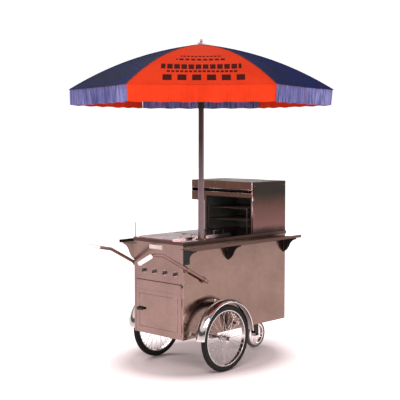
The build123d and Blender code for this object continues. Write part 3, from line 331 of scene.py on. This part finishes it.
def wheel_rim(name, centre, seat):
    """A plated rim, black beyond the radius seat, where the tyre's bead lies over its flanges."""
    m = Nodes(name)
    x = m.math("SUBTRACT", m.axis("X"), centre.x)
    z = m.math("SUBTRACT", m.axis("Z"), centre.z)
    out = m.math("SQRT", m.math("ADD", m.math("MULTIPLY", x, x), m.math("MULTIPLY", z, z)))
    bead = m.math("GREATER_THAN", out, seat)
    smudge = m.noise(14, 6, roughness=0.7)
    m.set(Base_Color=m.mix(bead, srgb(204, 192, 192), srgb(20, 18, 18)),
          Metallic=m.math("SUBTRACT", 1.0, bead),
          Roughness=m.math("ADD", m.math("MULTIPLY", bead, 0.45), m.remap(smudge, 0.3, 0.8, 0.06, 0.16)))
    return m.material


def polished(name, colour, rough=(0.04, 0.14)):
    """Bright plated metal with smudges and a slight unevenness."""
    m = Nodes(name)
    smudge = m.noise(14, 6, roughness=0.7)
    m.set(Base_Color=m.ramp(smudge, [(0.35, colour), (0.8, darker(colour, 0.72))]), Metallic=1.0,
          Roughness=m.remap(smudge, 0.35, 0.8, *rough))
    m.bump(m.noise(4, 2), 0.12, 0.003)
    return m.material


def paint(name, colour, rough=(0.28, 0.45), worn=None):
    """Brushed paint, worn through in spots to another colour."""
    m = Nodes(name)
    speck = m.noise(260, 3)
    cloudy = m.noise(8, 5)
    base = m.ramp(cloudy, [(0.3, darker(colour, 0.7)), (0.7, colour)])
    if worn:
        base = m.mix(m.remap(m.noise(38, 8, roughness=0.75), 0.62, 0.68, 0.0, 0.8), base, worn)
    m.set(Base_Color=base, Roughness=m.remap(cloudy, 0.3, 0.7, *rough), Specular_IOR_Level=0.3)
    m.bump(speck, 0.08, 0.0006)
    return m.material


def rubber(name, colour, rough=(0.5, 0.75), grain=700):
    """Dusty rubber or thread with a fine grain."""
    m = Nodes(name)
    dust = m.noise(9, 6, roughness=0.7)
    m.set(Base_Color=m.ramp(dust, [(0.35, colour), (0.8, tuple(c * 1.7 + 0.012 for c in colour[:3]) + (1,))]),
          Roughness=m.remap(dust, 0.3, 0.7, *rough))
    m.bump(m.noise(grain, 2), 0.2, 0.0005)
    return m.material


def tyre_rubber(name, centre):
    """Black rubber with a tread of short blocks round the crown."""
    m = Nodes(name)
    dust = m.noise(12, 6, roughness=0.7)
    x = m.math("SUBTRACT", m.axis("X"), centre.x)
    z = m.math("SUBTRACT", m.axis("Z"), centre.z)
    y = m.math("SUBTRACT", m.axis("Y"), centre.y)
    turn = m.math("ARCTAN2", z, x)
    blocks = m.math("SINE", m.math("MULTIPLY", turn, 180.0))
    grooves = m.math("SINE", m.math("MULTIPLY", y, 1400.0))
    tread = m.math("MULTIPLY", m.math("ADD", blocks, grooves), 0.5)
    crown = m.remap(m.math("ABSOLUTE", y), 0.008, 0.013, 1.0, 0.0)
    m.set(Base_Color=m.ramp(dust, [(0.3, srgb(10, 9, 9)), (0.8, srgb(26, 23, 22))]), Roughness=0.7,
          Specular_IOR_Level=0.25)
    m.bump(m.math("MULTIPLY", tread, crown), 0.8, 0.0015)
    return m.material


def glossy_plastic(name, colour):
    """Moulded plastic with finger marks."""
    m = Nodes(name)
    smudge = m.noise(30, 5)
    m.set(Base_Color=m.ramp(smudge, [(0.3, colour), (0.9, tuple(c * 1.5 + 0.01 for c in colour[:3]) + (1,))]),
          Roughness=m.remap(smudge, 0.3, 0.8, 0.16, 0.34), Coat_Weight=0.3)
    m.bump(m.noise(420, 2), 0.05, 0.0004)
    return m.material


def woven(name, colour, shade, motif=None, fold_shade=0.0):
    """Canvas: a fine weave from the sheet's own UVs, slow fading, an optional print, and painted shade in
    streaks where the folds crease.
    """
    m = Nodes(name)
    uv = m.node("ShaderNodeUVMap", uv_map="cloth").outputs["UV"]
    u, v = m.axis("X", uv), m.axis("Y", uv)
    warp = m.math("SINE", m.math("MULTIPLY", u, 2600.0))
    weft = m.math("SINE", m.math("MULTIPLY", v, 2600.0))
    weave = m.math("MULTIPLY", warp, weft)
    fade = m.noise(2.4, 5)
    thread = m.noise(160, 4, (1, 1, 1))
    base = m.ramp(fade, [(0.25, shade), (0.6, colour)])
    base = m.mix(m.remap(thread, 0.35, 0.75, 0.0, 0.3), base, shade)
    # Painted shade in the folds: dark streaks where the cloth creases.
    if fold_shade:
        stretched = m.node("ShaderNodeMapping")
        stretched.inputs["Scale"].default_value = (34, 2.4, 1)
        m.link(uv, stretched.inputs["Vector"])
        crease = m.node("ShaderNodeTexNoise", Scale=1.6, Detail=5.0, Roughness=0.7, Distortion=0.6)
        m.link(stretched.outputs["Vector"], crease.inputs["Vector"])
        fold_shade_mask = m.remap(crease.outputs["Fac"], 0.42, 0.62, 0.0, fold_shade)
        base = m.mix(fold_shade_mask, base, darker(shade, 0.35))
    if motif:
        base = m.mix(motif(m, u, v), base, srgb(44, 16, 14))
    m.set(Base_Color=base, Roughness=0.9, Sheen_Weight=0.02, Sheen_Roughness=0.4, Specular_IOR_Level=0.05)
    first = m.node("ShaderNodeBump", Strength=0.25, Distance=0.0006)
    m.link(weave, first.inputs["Height"])
    m.bump(m.noise(26, 4), 0.18, 0.004, below=first.outputs["Normal"])
    return m.material


COUNTER_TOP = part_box("countertop")[1].z
PAINTED_REFLECTION_BEHIND_POLE = ((1, -1, 0), 0.06, 0.20, srgb(44, 37, 35))     # painted dark reflection of the oven on the counter and lids, beyond the pole
OVEN_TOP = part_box("oven_header")[1].z
MAT = {
    "panel": sheet_steel("side_steel", srgb(128, 106, 97)),
    # The front parts get a lighter copy of the side steel: painted light on the faces turned to the front.
    "front": sheet_steel("front_steel", srgb(146, 120, 114), (0.16, 0.28)),
    "counter": sheet_steel("counter_steel", srgb(166, 138, 138), (0.12, 0.24), (60, 3, 200),
                           painted_shade=PAINTED_REFLECTION_BEHIND_POLE),
    "bright": sheet_steel("bright_steel", srgb(190, 160, 162), (0.12, 0.24), (4, 90, 90), 0.06),
    "lid": sheet_steel("lid_steel", srgb(196, 164, 168), (0.12, 0.24), (4, 90, 90), 0.08, painted_shade=PAINTED_REFLECTION_BEHIND_POLE),
    "edge": sheet_steel("shaded_edge_steel", srgb(92, 70, 64), (0.3, 0.45)),
    "arm": sheet_steel("arm_steel", srgb(140, 111, 103), (0.34, 0.5)),
    "frame": sheet_steel("frame_steel", srgb(118, 106, 101), (0.3, 0.5)),
    "oven": sheet_steel("oven_steel", srgb(100, 74, 67), (0.24, 0.4), (60, 3, 200)),
    "header": sheet_steel("header_steel", srgb(96, 69, 59), (0.2, 0.34), (3, 90, 240)),
    "oven_side": oven_wall("oven_side_steel"),
    "chrome": polished("chrome", srgb(204, 192, 192)),
    "fender": polished("fender_steel", srgb(226, 214, 213), (0.04, 0.1)),
    "rack": polished("rack_wire", srgb(96, 82, 76), (0.3, 0.5)),
    # The pole is painted darker towards its top: a painted shadow of the umbrella.
    "pole": sheet_steel("pole_metal", srgb(124, 106, 111), (0.22, 0.4), (40, 40, 2), 0.04,
                        painted_shade=((0, 0, 1), OVEN_TOP - 0.1, OVEN_TOP + 0.35, srgb(70, 52, 50))),
    "pole_dark": sheet_steel("pole_dark_metal", srgb(104, 88, 92), (0.3, 0.5), (40, 40, 2), 0.04),
    "black": paint("black_paint_and_bracket_shade", srgb(20, 18, 18), (0.4, 0.6), worn=srgb(58, 48, 45)),
    "soot": paint("oven_lining", srgb(84, 86, 83), (0.5, 0.8)),
    "white": paint("blank_plate", srgb(226, 204, 200), (0.3, 0.42)),
    "bottle": paint("bottle_paint", srgb(205, 203, 196), worn=srgb(150, 120, 96)),
    "knob": glossy_plastic("knob_plastic", srgb(30, 22, 22)),
    # The grips' near-white is a painted highlight: the light's reflection on the grips, painted as colour.
    "grip": rubber("grip_painted_highlight", srgb(226, 214, 212), (0.45, 0.6), 500),
    "caster": rubber("caster_rubber", srgb(86, 74, 74)),
    "brass": polished("brass", srgb(196, 160, 96), (0.2, 0.35)),
    "thread": rubber("seam_thread", srgb(58, 34, 40), (0.7, 0.85)),
}
NODE_MATERIALS = {
    "panel": ("side_panel_right", "side_panel_left", "rear_panel", "umbrella_socket"),
    "front": ("front_panel", "door", "drip_drawer"),
    "counter": ("countertop", "steam_pans"),
    "bright": ("corner_rod", "crown"),
    "lid": ("lid_front", "lid_rear"),
    "edge": ("shelf_right", "shelf_left"),
    "arm": ("handle_bars", "handle_clamps"),
    "frame": ("chassis_frame", "axle", "floor_pan", "caster_plate"),
    "oven": ("oven_shell",),
    "header": ("oven_header",),
    "chrome": ("spoked_hub_right", "spoked_hub_left"),
    "fender": ("fenders", "caster_rim"),
    "rack": ("oven_racks",),
    "pole": ("pole",),
    "pole_dark": tuple(f"{kind}_{i}" for kind in ("rib", "stretcher") for i in range(1, 7)),
    # The black on the shelf brackets is painted shade on steel brackets.
    "black": ("vent_plate", "door_latch", "shelf_brackets", "caster_fork", "runner"),
    "knob": tuple(f"knob_{i}" for i in range(1, 5)),
    "grip": ("handle_grips",),
    "caster": ("caster_tyre",),
    "brass": ("gas_train",),
    "bottle": ("gas_bottle",),
}
SOFT_EDGES = ("countertop", "shelf_right", "shelf_left", "door", "drip_drawer", "lid_front", "lid_rear",
              "oven_header", "oven_shell", "front_panel", "vent_plate", "shelf_brackets")


def paint_faces(name, material, test):
    """Gives another material to the faces whose middle and normal pass the test."""
    mesh = NODES[name].data
    mesh.materials.append(MAT[material])
    for polygon in mesh.polygons:
        if test(polygon.center, polygon.normal):
            polygon.material_index = len(mesh.materials) - 1


def dress_nodes():
    """Gives every CAD node its material, and the sheet edges a small radius."""
    for material, names in NODE_MATERIALS.items():
        for name in names:
            NODES[name].data.materials.clear()
            NODES[name].data.materials.append(MAT[material])
    for side in ("right", "left"):
        centre = sum(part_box(f"tyre_{side}"), Vector()) / 2
        low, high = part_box(f"rim_{side}")
        seat = (high.z - low.z) / 2 - 0.006
        for part, material in (("tyre", tyre_rubber(f"tyre_rubber_{side}", centre)),
                               ("rim", wheel_rim(f"rim_plate_{side}", centre, seat))):
            mesh = NODES[f"{part}_{side}"].data
            mesh.materials.clear()
            mesh.materials.append(material)
            mesh.polygons.foreach_set("use_smooth", [True] * len(mesh.polygons))
            mesh.update()
    middle = sum(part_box("countertop"), Vector()).y / 2
    # The far brackets get the side steel and the near ones keep the black: one steel bracket in painted light
    # and painted shade.
    paint_faces("shelf_brackets", "panel", lambda c, n: c.y > middle)
    paint_faces("countertop", "edge", lambda c, n: abs(n.z) < 0.5)
    for name in ("oven_shell", "oven_header"):
        paint_faces(name, "oven_side", lambda c, n: n.y < -0.5)
    for name in SOFT_EDGES:
        soften(NODES[name], 0.0006, 1)


# ---------------------------------------------------------------- umbrella cloth
CANOPY_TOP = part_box("canopy_red")[1].z
CANOPY_RADIUS = max(math.hypot(v.co.x, v.co.y) for v in NODES["canopy_red"].data.vertices)
VALANCE = 0.115
CANOPY_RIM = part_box("canopy_red")[0].z + VALANCE
CROWN_RADIUS = 0.027
RIB_COUNT = 6
HALF_ANGLE = math.pi / RIB_COUNT
RIM_HALF = CANOPY_RADIUS * math.sin(HALF_ANGLE)
SAG = 0.012                  # of a panel's middle, between its ribs
SCALLOP = 0.010              # how far the rim is drawn in at a panel's middle
VALANCE_SLIT = 0.014         # share of a half valance left open at its rib
NAVY_FOLDS = (0.010, 88)     # depth, and waves in radians per metre along the rim
RED_FOLDS = (0.004, 30)
PRINT_ROWS = (           # low and high share of the panel, half width and pitch in metres, filled share
    (0.500, 0.530, 0.14, 0.026, 0.7), (0.570, 0.610, 0.17, 0.040, 0.7), (0.690, 0.775, 0.27, 0.048, 0.78),
    (0.800, 0.830, 0.24, 0.030, 0.7), (0.865, 0.945, 0.29, 0.098, 0.62))


def canopy_z(radius):
    """Height of a rib's top edge: a gentle dome that steepens towards the rim."""
    share = radius / CANOPY_RADIUS
    return CANOPY_TOP - (CANOPY_TOP - CANOPY_RIM) * (0.34 * share + 0.66 * share ** 2.2)


def rib_direction(index):
    """The level direction in which a rib points."""
    axis = JOINTS[f"rib_{index}_hinge"]["axis"]
    return Vector((axis[1], -axis[0], 0.0))


def panel_middle(out, across):
    """The level direction of a panel's middle, beside the rib that points out."""
    return out * math.cos(HALF_ANGLE) + across * math.sin(HALF_ANGLE)


def panel_point(out, across, radial, side):
    """A point of the canopy: radial runs from crown to rim, side from the rib (0) to mid panel (1)."""
    radius = CROWN_RADIUS + (CANOPY_RADIUS - CROWN_RADIUS) * radial
    middle = panel_middle(out, across)
    place = out * radius * (1 - side) + middle * radius * math.cos(HALF_ANGLE) * side
    towards_middle = 1 - (1 - side) ** 2
    dip = SAG * math.sin(math.pi * min(radial * 0.92, 1.0)) * towards_middle
    ripple = 0.0022 * noise.noise(Vector((place.x * 7, place.y * 7, 3.1))) * side
    place -= middle * SCALLOP * radial ** 6 * towards_middle
    return Vector((place.x, place.y, canopy_z(radius) - dip + ripple))


def valance_point(rib, out, across, sign, is_red, down, side):
    """A point of a valance: down runs from rim to hem, side from the rib (0) to mid panel (1)."""
    side = VALANCE_SLIT + (1 - VALANCE_SLIT) * side
    place = panel_point(out, across, 1.0, side)
    middle = panel_middle(out, across)
    along = side * RIM_HALF
    loose = noise.noise(Vector((along * 11, rib * 3.3, sign * 2.0)))
    depth, waves = RED_FOLDS if is_red else NAVY_FOLDS
    fold = math.sin(along * waves + rib * 1.7 + 5 * loose) * depth * (1 + 0.9 * loose)
    place += middle * (fold * down ** 0.7 - 0.004 - 0.010 * down)
    place.z -= VALANCE * down * (1 - 0.02 * math.cos(along * 40))
    return place


def cloth_piece(name, rows, columns, point, uv, material, rib):
    """A grid of cloth that rides on its rib, with its flat pattern in the UVs."""
    steps = [(r / (rows - 1), c / (columns - 1)) for r in range(rows) for c in range(columns)]
    faces = [(r * columns + c, r * columns + c + 1, (r + 1) * columns + c + 1, (r + 1) * columns + c)
             for r in range(rows - 1) for c in range(columns - 1)]
    obj = new_object(name, [point(*step) for step in steps], faces, smooth=True)
    layer = obj.data.uv_layers.new(name="cloth")
    for loop in obj.data.loops:
        layer.data[loop.index].uv = uv(*steps[loop.vertex_index])
    obj.data.materials.append(material)
    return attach(obj, f"rib_{rib}")


def half_panel(rib, sign, word, cloths):
    """Half a canopy panel beside its rib, and the valance below it."""
    out = rib_direction(rib)
    across = Vector((-out.y, out.x, 0)) * sign
    middle = panel_middle(out, across)
    turn = math.degrees(math.atan2(middle.y, middle.x)) - azimuth_of_red()
    panels_round = round(turn / 60) % RIB_COUNT
    is_red = panels_round % 2 == 0
    colour = "printed" if panels_round == 0 else "red" if is_red else "blue"
    panel = cloth_piece(
        f"canopy_gore_{rib}{word}", 25, 11,
        lambda t, s: panel_point(out, across, t, s),
        lambda t, s: (sign * RIM_HALF * t * (1 - s), t), cloths[colour], rib)
    valance = cloth_piece(
        f"valance_{rib}{word}", 9, 61,
        lambda t, s: valance_point(rib, out, across, sign, is_red, t, s),
        lambda t, s: (sign * RIM_HALF * s, -VALANCE * t),
        cloths["red_hem" if is_red else "blue_hem"], rib)
    for piece in (panel, valance):
        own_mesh(piece)
    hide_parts("canopy_red" if is_red else "canopy_blue")


def make_canopy():
    canvas_red, canvas_shade = srgb(212, 56, 24), srgb(192, 44, 18)
    cloths = {
        "printed": woven("red_canvas", canvas_red, canvas_shade, printed_rows),
        "red": woven("plain_red_canvas", canvas_red, canvas_shade),
        "blue": woven("navy_canvas", srgb(8, 17, 74), srgb(6, 9, 34)),
        "red_hem": woven("red_valance", srgb(214, 58, 26), srgb(190, 46, 20), fold_shade=0.14),
        "blue_hem": woven("navy_valance", srgb(130, 128, 178), srgb(78, 78, 132), fold_shade=0.8),
    }
    for rib in range(1, RIB_COUNT + 1):
        half_panel(rib, -1, "a", cloths)
        half_panel(rib, 1, "b", cloths)
        seam_tape(rib)


def printed_rows(m, u, v):
    """Rows of plain printed blocks, with no lettering."""
    total = None
    for low, high, half, pitch, filled in PRINT_ROWS:
        inside = m.math("MULTIPLY", m.math("GREATER_THAN", v, low), m.math("LESS_THAN", v, high))
        block = m.math("LESS_THAN", m.math("FRACT", m.math("MULTIPLY", u, 1 / pitch)), filled)
        reach = m.math("LESS_THAN", m.math("ABSOLUTE", u), half)
        row = m.math("MULTIPLY", m.math("MULTIPLY", inside, block), reach)
        total = row if total is None else m.math("MAXIMUM", total, row)
    return m.math("MULTIPLY", total, 0.96)


def azimuth_of_red():
    """Direction, in degrees, of the middle of the red panel that faces the customer."""
    total = Vector()
    for polygon in NODES["canopy_red"].data.polygons:
        centre = polygon.center
        if centre.x < 0 and centre.y < 0 and centre.z > CANOPY_RIM + 0.02:
            total += Vector((centre.x, centre.y, 0)) * polygon.area
    return math.degrees(math.atan2(total.y, total.x))


def seam_tape(rib):
    """The bound seam over each rib, from crown to rim: two lines of stitching."""
    out = rib_direction(rib)
    across = Vector((-out.y, out.x, 0))
    shape = Shape()
    rows = 26
    for edge in (-0.005, 0.005):
        beside = across * edge + Vector((0, 0, 0.0004))
        shape.tube([panel_point(out, across, r / (rows - 1), 0.0) + beside for r in range(rows)], 0.0013, 6)
    shape.make(f"canopy_seam_{rib}", MAT["thread"], f"rib_{rib}", smooth=True)


# ---------------------------------------------------------------- cart details
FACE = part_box("side_panel_right")[0].x       # the front of the body
PROUD = 0.0012                               # thickness of thin trims
SCREW = (0.003, 0.0014)                      # radius and height of a screw's head
RIVET = (0.0035, 0.0018)


def make_rivets():
    """Rows of small domed rivets along the sheet edges."""
    pitch, inset = 0.11, 0.015
    for side, out in (("right", -1), ("left", 1)):
        low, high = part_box(f"side_panel_{side}")
        y = low.y if out < 0 else high.y
        shelf_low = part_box(f"shelf_{side}")[0].z
        length = high.x - low.x - 2 * inset
        count = int(length / pitch)
        shape = Shape()
        for z in (low.z + 0.014, shelf_low - 0.012):
            for i in range(count + 1):
                shape.dome((low.x + inset + i * length / count, y, z), (0, out, 0), *RIVET)
        for x in (low.x + 0.012, high.x - 0.012):
            for i in range(1, 6):
                shape.dome((x, y, low.z + i * (shelf_low - low.z) / 6), (0, out, 0), *RIVET)
        shape.make(f"side_rivets_{side}", MAT["bright"], "cart", smooth=True)
    low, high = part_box("rear_panel")
    shape = Shape()
    for y in (low.y + 0.012, high.y - 0.012):
        for i in range(8):
            shape.dome((high.x, y, low.z + 0.02 + i * 0.09), (1, 0, 0), *RIVET)
    shape.make("rear_rivets", MAT["bright"], "cart", smooth=True)


def make_blank_plate(centre, top):
    """The name plate, left blank, with two border lines and two pins."""
    low = Vector((FACE - PROUD, centre - 0.045, top - 0.072))
    high = Vector((FACE, centre + 0.097, top - 0.039))
    border = 0.003
    plate = Shape()
    plate.box(low, high)
    plate.make("blank_plate", MAT["white"], "cart", bevel=0.0004)
    trim = Shape()
    for z in (low.z + border, high.z - border):
        trim.box((low.x - 0.0004, low.y + border, z - 0.0005), (low.x, high.y - border, z + 0.0005))
    for y in (low.y + 0.008, high.y - 0.008):
        trim.dome((low.x, y, (low.z + high.z) / 2), (-1, 0, 0), 0.0028, 0.0012)
    trim.make("blank_plate_trim", MAT["frame"], "cart", smooth=True)


def make_dial(index):
    """The disc behind a knob, its nine marks, and the line on the knob."""
    pivot = Vector(JOINTS[f"knob_{index}_turn"]["pos_m"])
    spindle, edge, thick = 0.0065, 0.021, 0.0008
    dial = Shape()
    dial.ring((FACE, pivot.y, pivot.z), (-1, 0, 0),
              [(spindle, 0.0), (edge, 0.0), (edge, 0.0005), (edge - 0.0007, thick), (spindle, thick)], 48)
    dial.make(f"dial_{index}", MAT["bright"], "cart")
    ticks = Shape()
    for mark in range(9):
        turn = math.radians(-120 + mark * 30)
        spot = pivot + Vector((0, math.sin(turn), math.cos(turn))) * 0.0182
        ticks.dome((FACE - thick, spot.y, spot.z), (-1, 0, 0), 0.0013, 0.0004, 8)
    ticks.make(f"dial_marks_{index}", MAT["black"], "cart", smooth=True)
    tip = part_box(f"knob_{index}")[0].x
    line = Shape()
    line.box((tip - 0.0004, pivot.y - 0.001, pivot.z + 0.003), (tip, pivot.y + 0.001, pivot.z + 0.010))
    line.make(f"knob_line_{index}", MAT["white"], f"knob_{index}")


def make_door_and_drawer(centre):
    """The door's pressed bead, the drawer's screws and its rubber stop."""
    door_low, door_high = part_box("door")
    drawer_low, drawer_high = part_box("drip_drawer")
    x = FACE - 0.0018
    inset = 0.034
    half = (drawer_high.y - drawer_low.y) / 2 - inset
    bottom, top = door_low.z + inset, door_high.z - inset
    corners = [(x, centre - half, bottom), (x, centre + half, bottom), (x, centre + half, top),
               (x, centre - half, top)]
    bead = Shape()
    for start, end in zip(corners, corners[1:] + corners[:1]):
        bead.tube([start, end], 0.0016, 8)
    bead.make("door_bead", MAT["panel"], "door", smooth=True)
    screws = Shape()
    for z in (drawer_low.z + 0.008, drawer_high.z - 0.008):
        for y in (centre - 0.228, centre + 0.228):
            screws.dome((x, y, z), (-1, 0, 0), *SCREW)
    screws.make("drawer_screws", MAT["bright"], "drawer", smooth=True)
    stop = Shape()
    stop.dome((x, drawer_low.y - 0.010, drawer_high.z - 0.012), (-1, 0, 0), 0.011, 0.009, 20)
    stop.make("drawer_stop", MAT["knob"], "cart", smooth=True)


def make_corner_trims(centre, bottom, top):
    """Folded strips over the two front corners."""
    strips = Shape()
    for y in (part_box("side_panel_right")[0].y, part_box("side_panel_left")[1].y):
        out = -1 if y < centre else 1
        outer, inner = y + out * PROUD, y - out * 0.016
        strips.box((FACE - PROUD, min(outer, inner), bottom), (FACE, max(outer, inner), top))
        strips.box((FACE, min(outer, y), bottom), (FACE + 0.0075, max(outer, y), top))
    strips.make("front_corner_trims", MAT["front"], "cart", bevel=0.0004)


def make_front_details():
    low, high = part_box("front_panel")
    centre = (low.y + high.y) / 2
    make_blank_plate(centre, high.z)
    for index in range(1, 5):
        make_dial(index)
    make_door_and_drawer(centre)
    make_corner_trims(centre, low.z, high.z - 0.026)


def make_oven_liner(front, low, high):
    """Sooty sheets inside the oven, with five rack slides a side, and two rows of rack slots."""
    sheet, gap = 0.0008, 0.0022
    near = Vector((front + 0.003, low.y + gap, low.z + 0.003))
    far = Vector((high.x - gap, high.y - gap, high.z - 0.001))
    liner = Shape()
    liner.box((near.x, near.y, near.z), (far.x, near.y + sheet, far.z))
    liner.box((near.x, far.y - sheet, near.z), (far.x, far.y, far.z))
    liner.box((far.x - sheet, near.y + 0.001, near.z), (far.x, far.y - 0.001, far.z))
    liner.box((near.x, near.y + 0.001, far.z - sheet), (far.x - 0.001, far.y - 0.001, far.z))
    for i in range(5):
        z = low.z + 0.045 + i * 0.05
        for y in (near.y + 0.003, far.y - 0.003):
            liner.tube([(near.x + 0.01, y, z), (far.x - 0.01, y, z)], 0.0022, 8)
    liner.make("oven_liner", MAT["soot"], "cart")
    slots = Shape()
    for y in ((low.y + high.y) / 2, low.y + 0.05):
        for i in range(14):
            z = low.z + 0.06 + i * 0.018
            slots.box((far.x - 0.0022, y - 0.006, z), (far.x - 0.0010, y + 0.006, z + 0.007))
    slots.make("rack_slots", MAT["brass"], "cart")


def make_oven_details():
    low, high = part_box("oven_shell")
    head_low, head_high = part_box("oven_header")
    front = head_low.x
    slot_low, slot_high = head_high.z - 0.089, head_high.z - 0.065
    make_oven_liner(front, low, high)
    trim = Shape()
    x = front - 0.0015
    for z, radius in ((slot_high + 0.0025, 0.002), (slot_low - 0.0015, 0.0012)):
        trim.tube([(x, head_low.y + 0.004, z), (x, head_high.y - 0.004, z)], radius, 8)
    trim.box((front - 0.0024, low.y, low.z), (front - 0.0018, low.y + 0.013, head_high.z))
    trim.make("header_trim", MAT["bright"], "cart", smooth=True)
    burners = Shape()
    for x in (front + 0.1, front + 0.3):
        z = slot_low + 0.007
        burners.tube([(x, head_low.y + 0.03, z), (x, head_high.y - 0.03, z)], 0.007, 12)
    burners.make("header_elements", MAT["soot"], "cart", smooth=True)
    screws = Shape()
    for z in (head_high.z - 0.018, head_high.z - 0.048):
        for i in range(6):
            y = head_low.y + 0.02 + i * (head_high.y - head_low.y - 0.04) / 5
            screws.dome((front, y, z), (-1, 0, 0), *SCREW)
    for x in (front + 0.02, head_high.x - 0.02):
        for z in (low.z + 0.02, head_high.z - 0.26, head_high.z - 0.14, head_high.z - 0.03):
            screws.dome((x, low.y, z), (0, -1, 0), *SCREW)
    screws.make("oven_screws", MAT["bright"], "cart", smooth=True)


def make_wheel_details():
    """Spoke nipples, a valve stem and an axle cap on each large wheel."""
    spokes, valve_turn = 36, math.radians(65)
    for side, out in (("right", -1), ("left", 1)):
        spin = Vector(JOINTS[f"wheel_{side}_spin"]["pos_m"])
        rim_low, rim_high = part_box(f"rim_{side}")
        bore = (rim_high.z - rim_low.z) / 2 - 0.016
        shape = Shape()
        for i in range(spokes):
            turn = 2 * math.pi * i / spokes
            ray = Vector((math.cos(turn), 0, math.sin(turn)))
            shape.ring(spin + ray * (bore - 0.014), ray,
                       [(0.0012, 0.0), (0.0026, 0.002), (0.0026, 0.0136)], 8)
        ray = Vector((math.cos(valve_turn), 0, math.sin(valve_turn)))
        shape.ring(spin + ray * (bore - 0.036), ray, [(0.002, 0.0), (0.0032, 0.003), (0.0032, 0.0356)], 10)
        shape.make(f"spoke_nipples_{side}", MAT["chrome"], f"wheel_{side}", smooth=True)
        axle_low, axle_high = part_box("axle")
        end = axle_low.y if out < 0 else axle_high.y
        cap = Shape()
        cap.ring((spin.x, end, spin.z), (0, out, 0),
                 [(0.0098, 0.0), (0.0095, 0.003), (0.006, 0.005), (0.001, 0.0056)])
        cap.make(f"axle_cap_{side}", MAT["chrome"], "cart", smooth=True)


# ---------------------------------------------------------------- stage, lights and camera
def make_stage():
    """A pale floor that glows with painted light away from the cart, so that it reads white; near the cart it
    does not glow, a painted shadow pool round the cart's soft shadow.
    """
    size = 30.0
    floor = new_object("floor", [(-size, -size, 0), (size, -size, 0), (size, size, 0), (-size, size, 0)],
                       [(0, 1, 2, 3)])
    m = Nodes("floor_paper")
    middle = sum(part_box("axle"), Vector()) / 2
    x = m.math("MULTIPLY", m.math("SUBTRACT", m.axis("X"), middle.x + 0.22), 0.78)
    y = m.math("SUBTRACT", m.axis("Y"), middle.y + 0.06)
    shadow_pool_distance = m.math("SQRT", m.math("ADD", m.math("MULTIPLY", x, x), m.math("MULTIPLY", y, y)))
    # Emission grows with distance from near the axle: painted light on the floor, and a painted shadow pool
    # where it does not glow.
    m.set(Base_Color=m.ramp(m.noise(0.7, 3), [(0.3, (0.72, 0.59, 0.60, 1)), (0.7, (0.77, 0.64, 0.65, 1))]),
          Roughness=0.7, Specular_IOR_Level=0.1, Emission_Color=(1.0, 0.99, 0.99, 1),
          Emission_Strength=m.remap(shadow_pool_distance, 0.50, 0.80, 0.0, 0.8))
    floor.data.materials.append(m.material)


SKY = (                      # sine of the elevation, and brightness there
    (0.0, 0.95), (0.10, 0.9), (0.17, 0.12), (0.30, 0.10), (0.38, 1.0), (0.62, 1.0), (0.75, 0.3), (1.0, 0.6))


def make_world():
    """White behind the object, and bands of dark and light studio wall in its reflections."""
    world = bpy.data.worlds.new("studio")
    bpy.context.scene.world = world
    world.use_nodes = True
    tree = world.node_tree
    back = tree.nodes["Background"]
    coords = tree.nodes.new("ShaderNodeTexCoord")
    split = tree.nodes.new("ShaderNodeSeparateXYZ")
    ramp = tree.nodes.new("ShaderNodeValToRGB")
    tree.links.new(coords.outputs["Generated"], split.inputs[0])
    tree.links.new(split.outputs["Z"], ramp.inputs["Fac"])
    while len(ramp.color_ramp.elements) < len(SKY):
        ramp.color_ramp.elements.new(0.5)
    for element, (place, level) in zip(ramp.color_ramp.elements, SKY):
        element.position = place
        element.color = (level, level * 0.98, level * 0.97, 1)
    path = tree.nodes.new("ShaderNodeLightPath")
    pick = tree.nodes.new("ShaderNodeMix")
    pick.data_type = "RGBA"
    pick.clamp_result = False
    tree.links.new(path.outputs["Is Camera Ray"], pick.inputs[0])
    tree.links.new(ramp.outputs["Color"], pick.inputs[6])
    pick.inputs[7].default_value = (1.05, 1.05, 1.05, 1)
    tree.links.new(pick.outputs[2], back.inputs["Color"])
    back.inputs["Strength"].default_value = 1.0


def area_light(name, place, target, size, power):
    """A soft rectangular light that looks at target."""
    data = bpy.data.lights.new(name, "AREA")
    data.shape = "RECTANGLE"
    data.size, data.size_y = size
    data.energy = power
    light = bpy.data.objects.new(name, data)
    bpy.context.scene.collection.objects.link(light)
    light.location = place
    light.rotation_euler = (Vector(target) - Vector(place)).to_track_quat("-Z", "Y").to_euler()


CAMERA_PLACE = (-5.069, -4.852, 1.798)
CAMERA_YAW = 46.18           # degrees, from +Y towards +X
CAMERA_PITCH = 4.10          # degrees below level
FOCAL_SHARE = 934.0 / 400.0  # focal length over the frame's width


def make_camera():
    data = bpy.data.cameras.new("camera")
    data.sensor_width = 36.0
    data.lens = data.sensor_width * FOCAL_SHARE
    data.clip_end = 200
    camera = bpy.data.objects.new("camera", data)
    bpy.context.scene.collection.objects.link(camera)
    camera.location = CAMERA_PLACE
    yaw, pitch = math.radians(CAMERA_YAW), math.radians(CAMERA_PITCH)
    ahead = Vector((math.sin(yaw) * math.cos(pitch), math.cos(yaw) * math.cos(pitch), -math.sin(pitch)))
    camera.rotation_euler = ahead.to_track_quat("-Z", "Y").to_euler()
    bpy.context.scene.camera = camera


dress_nodes()
make_canopy()
make_rivets()
make_front_details()
make_oven_details()
make_wheel_details()
make_stage()
make_world()
area_light("key", (-4.5, -3.5, 5.0), (0, 0, 1.0), (3.5, 2.5), 260)
area_light("fill", (3.5, -5.0, 3.0), (0.3, 0, 0.9), (3.0, 3.0), 120)
area_light("back", (1.0, 5.0, 4.0), (0, 0, 1.2), (4.0, 2.0), 120)
make_camera()
bpy.context.scene.view_settings.view_transform = "Standard"
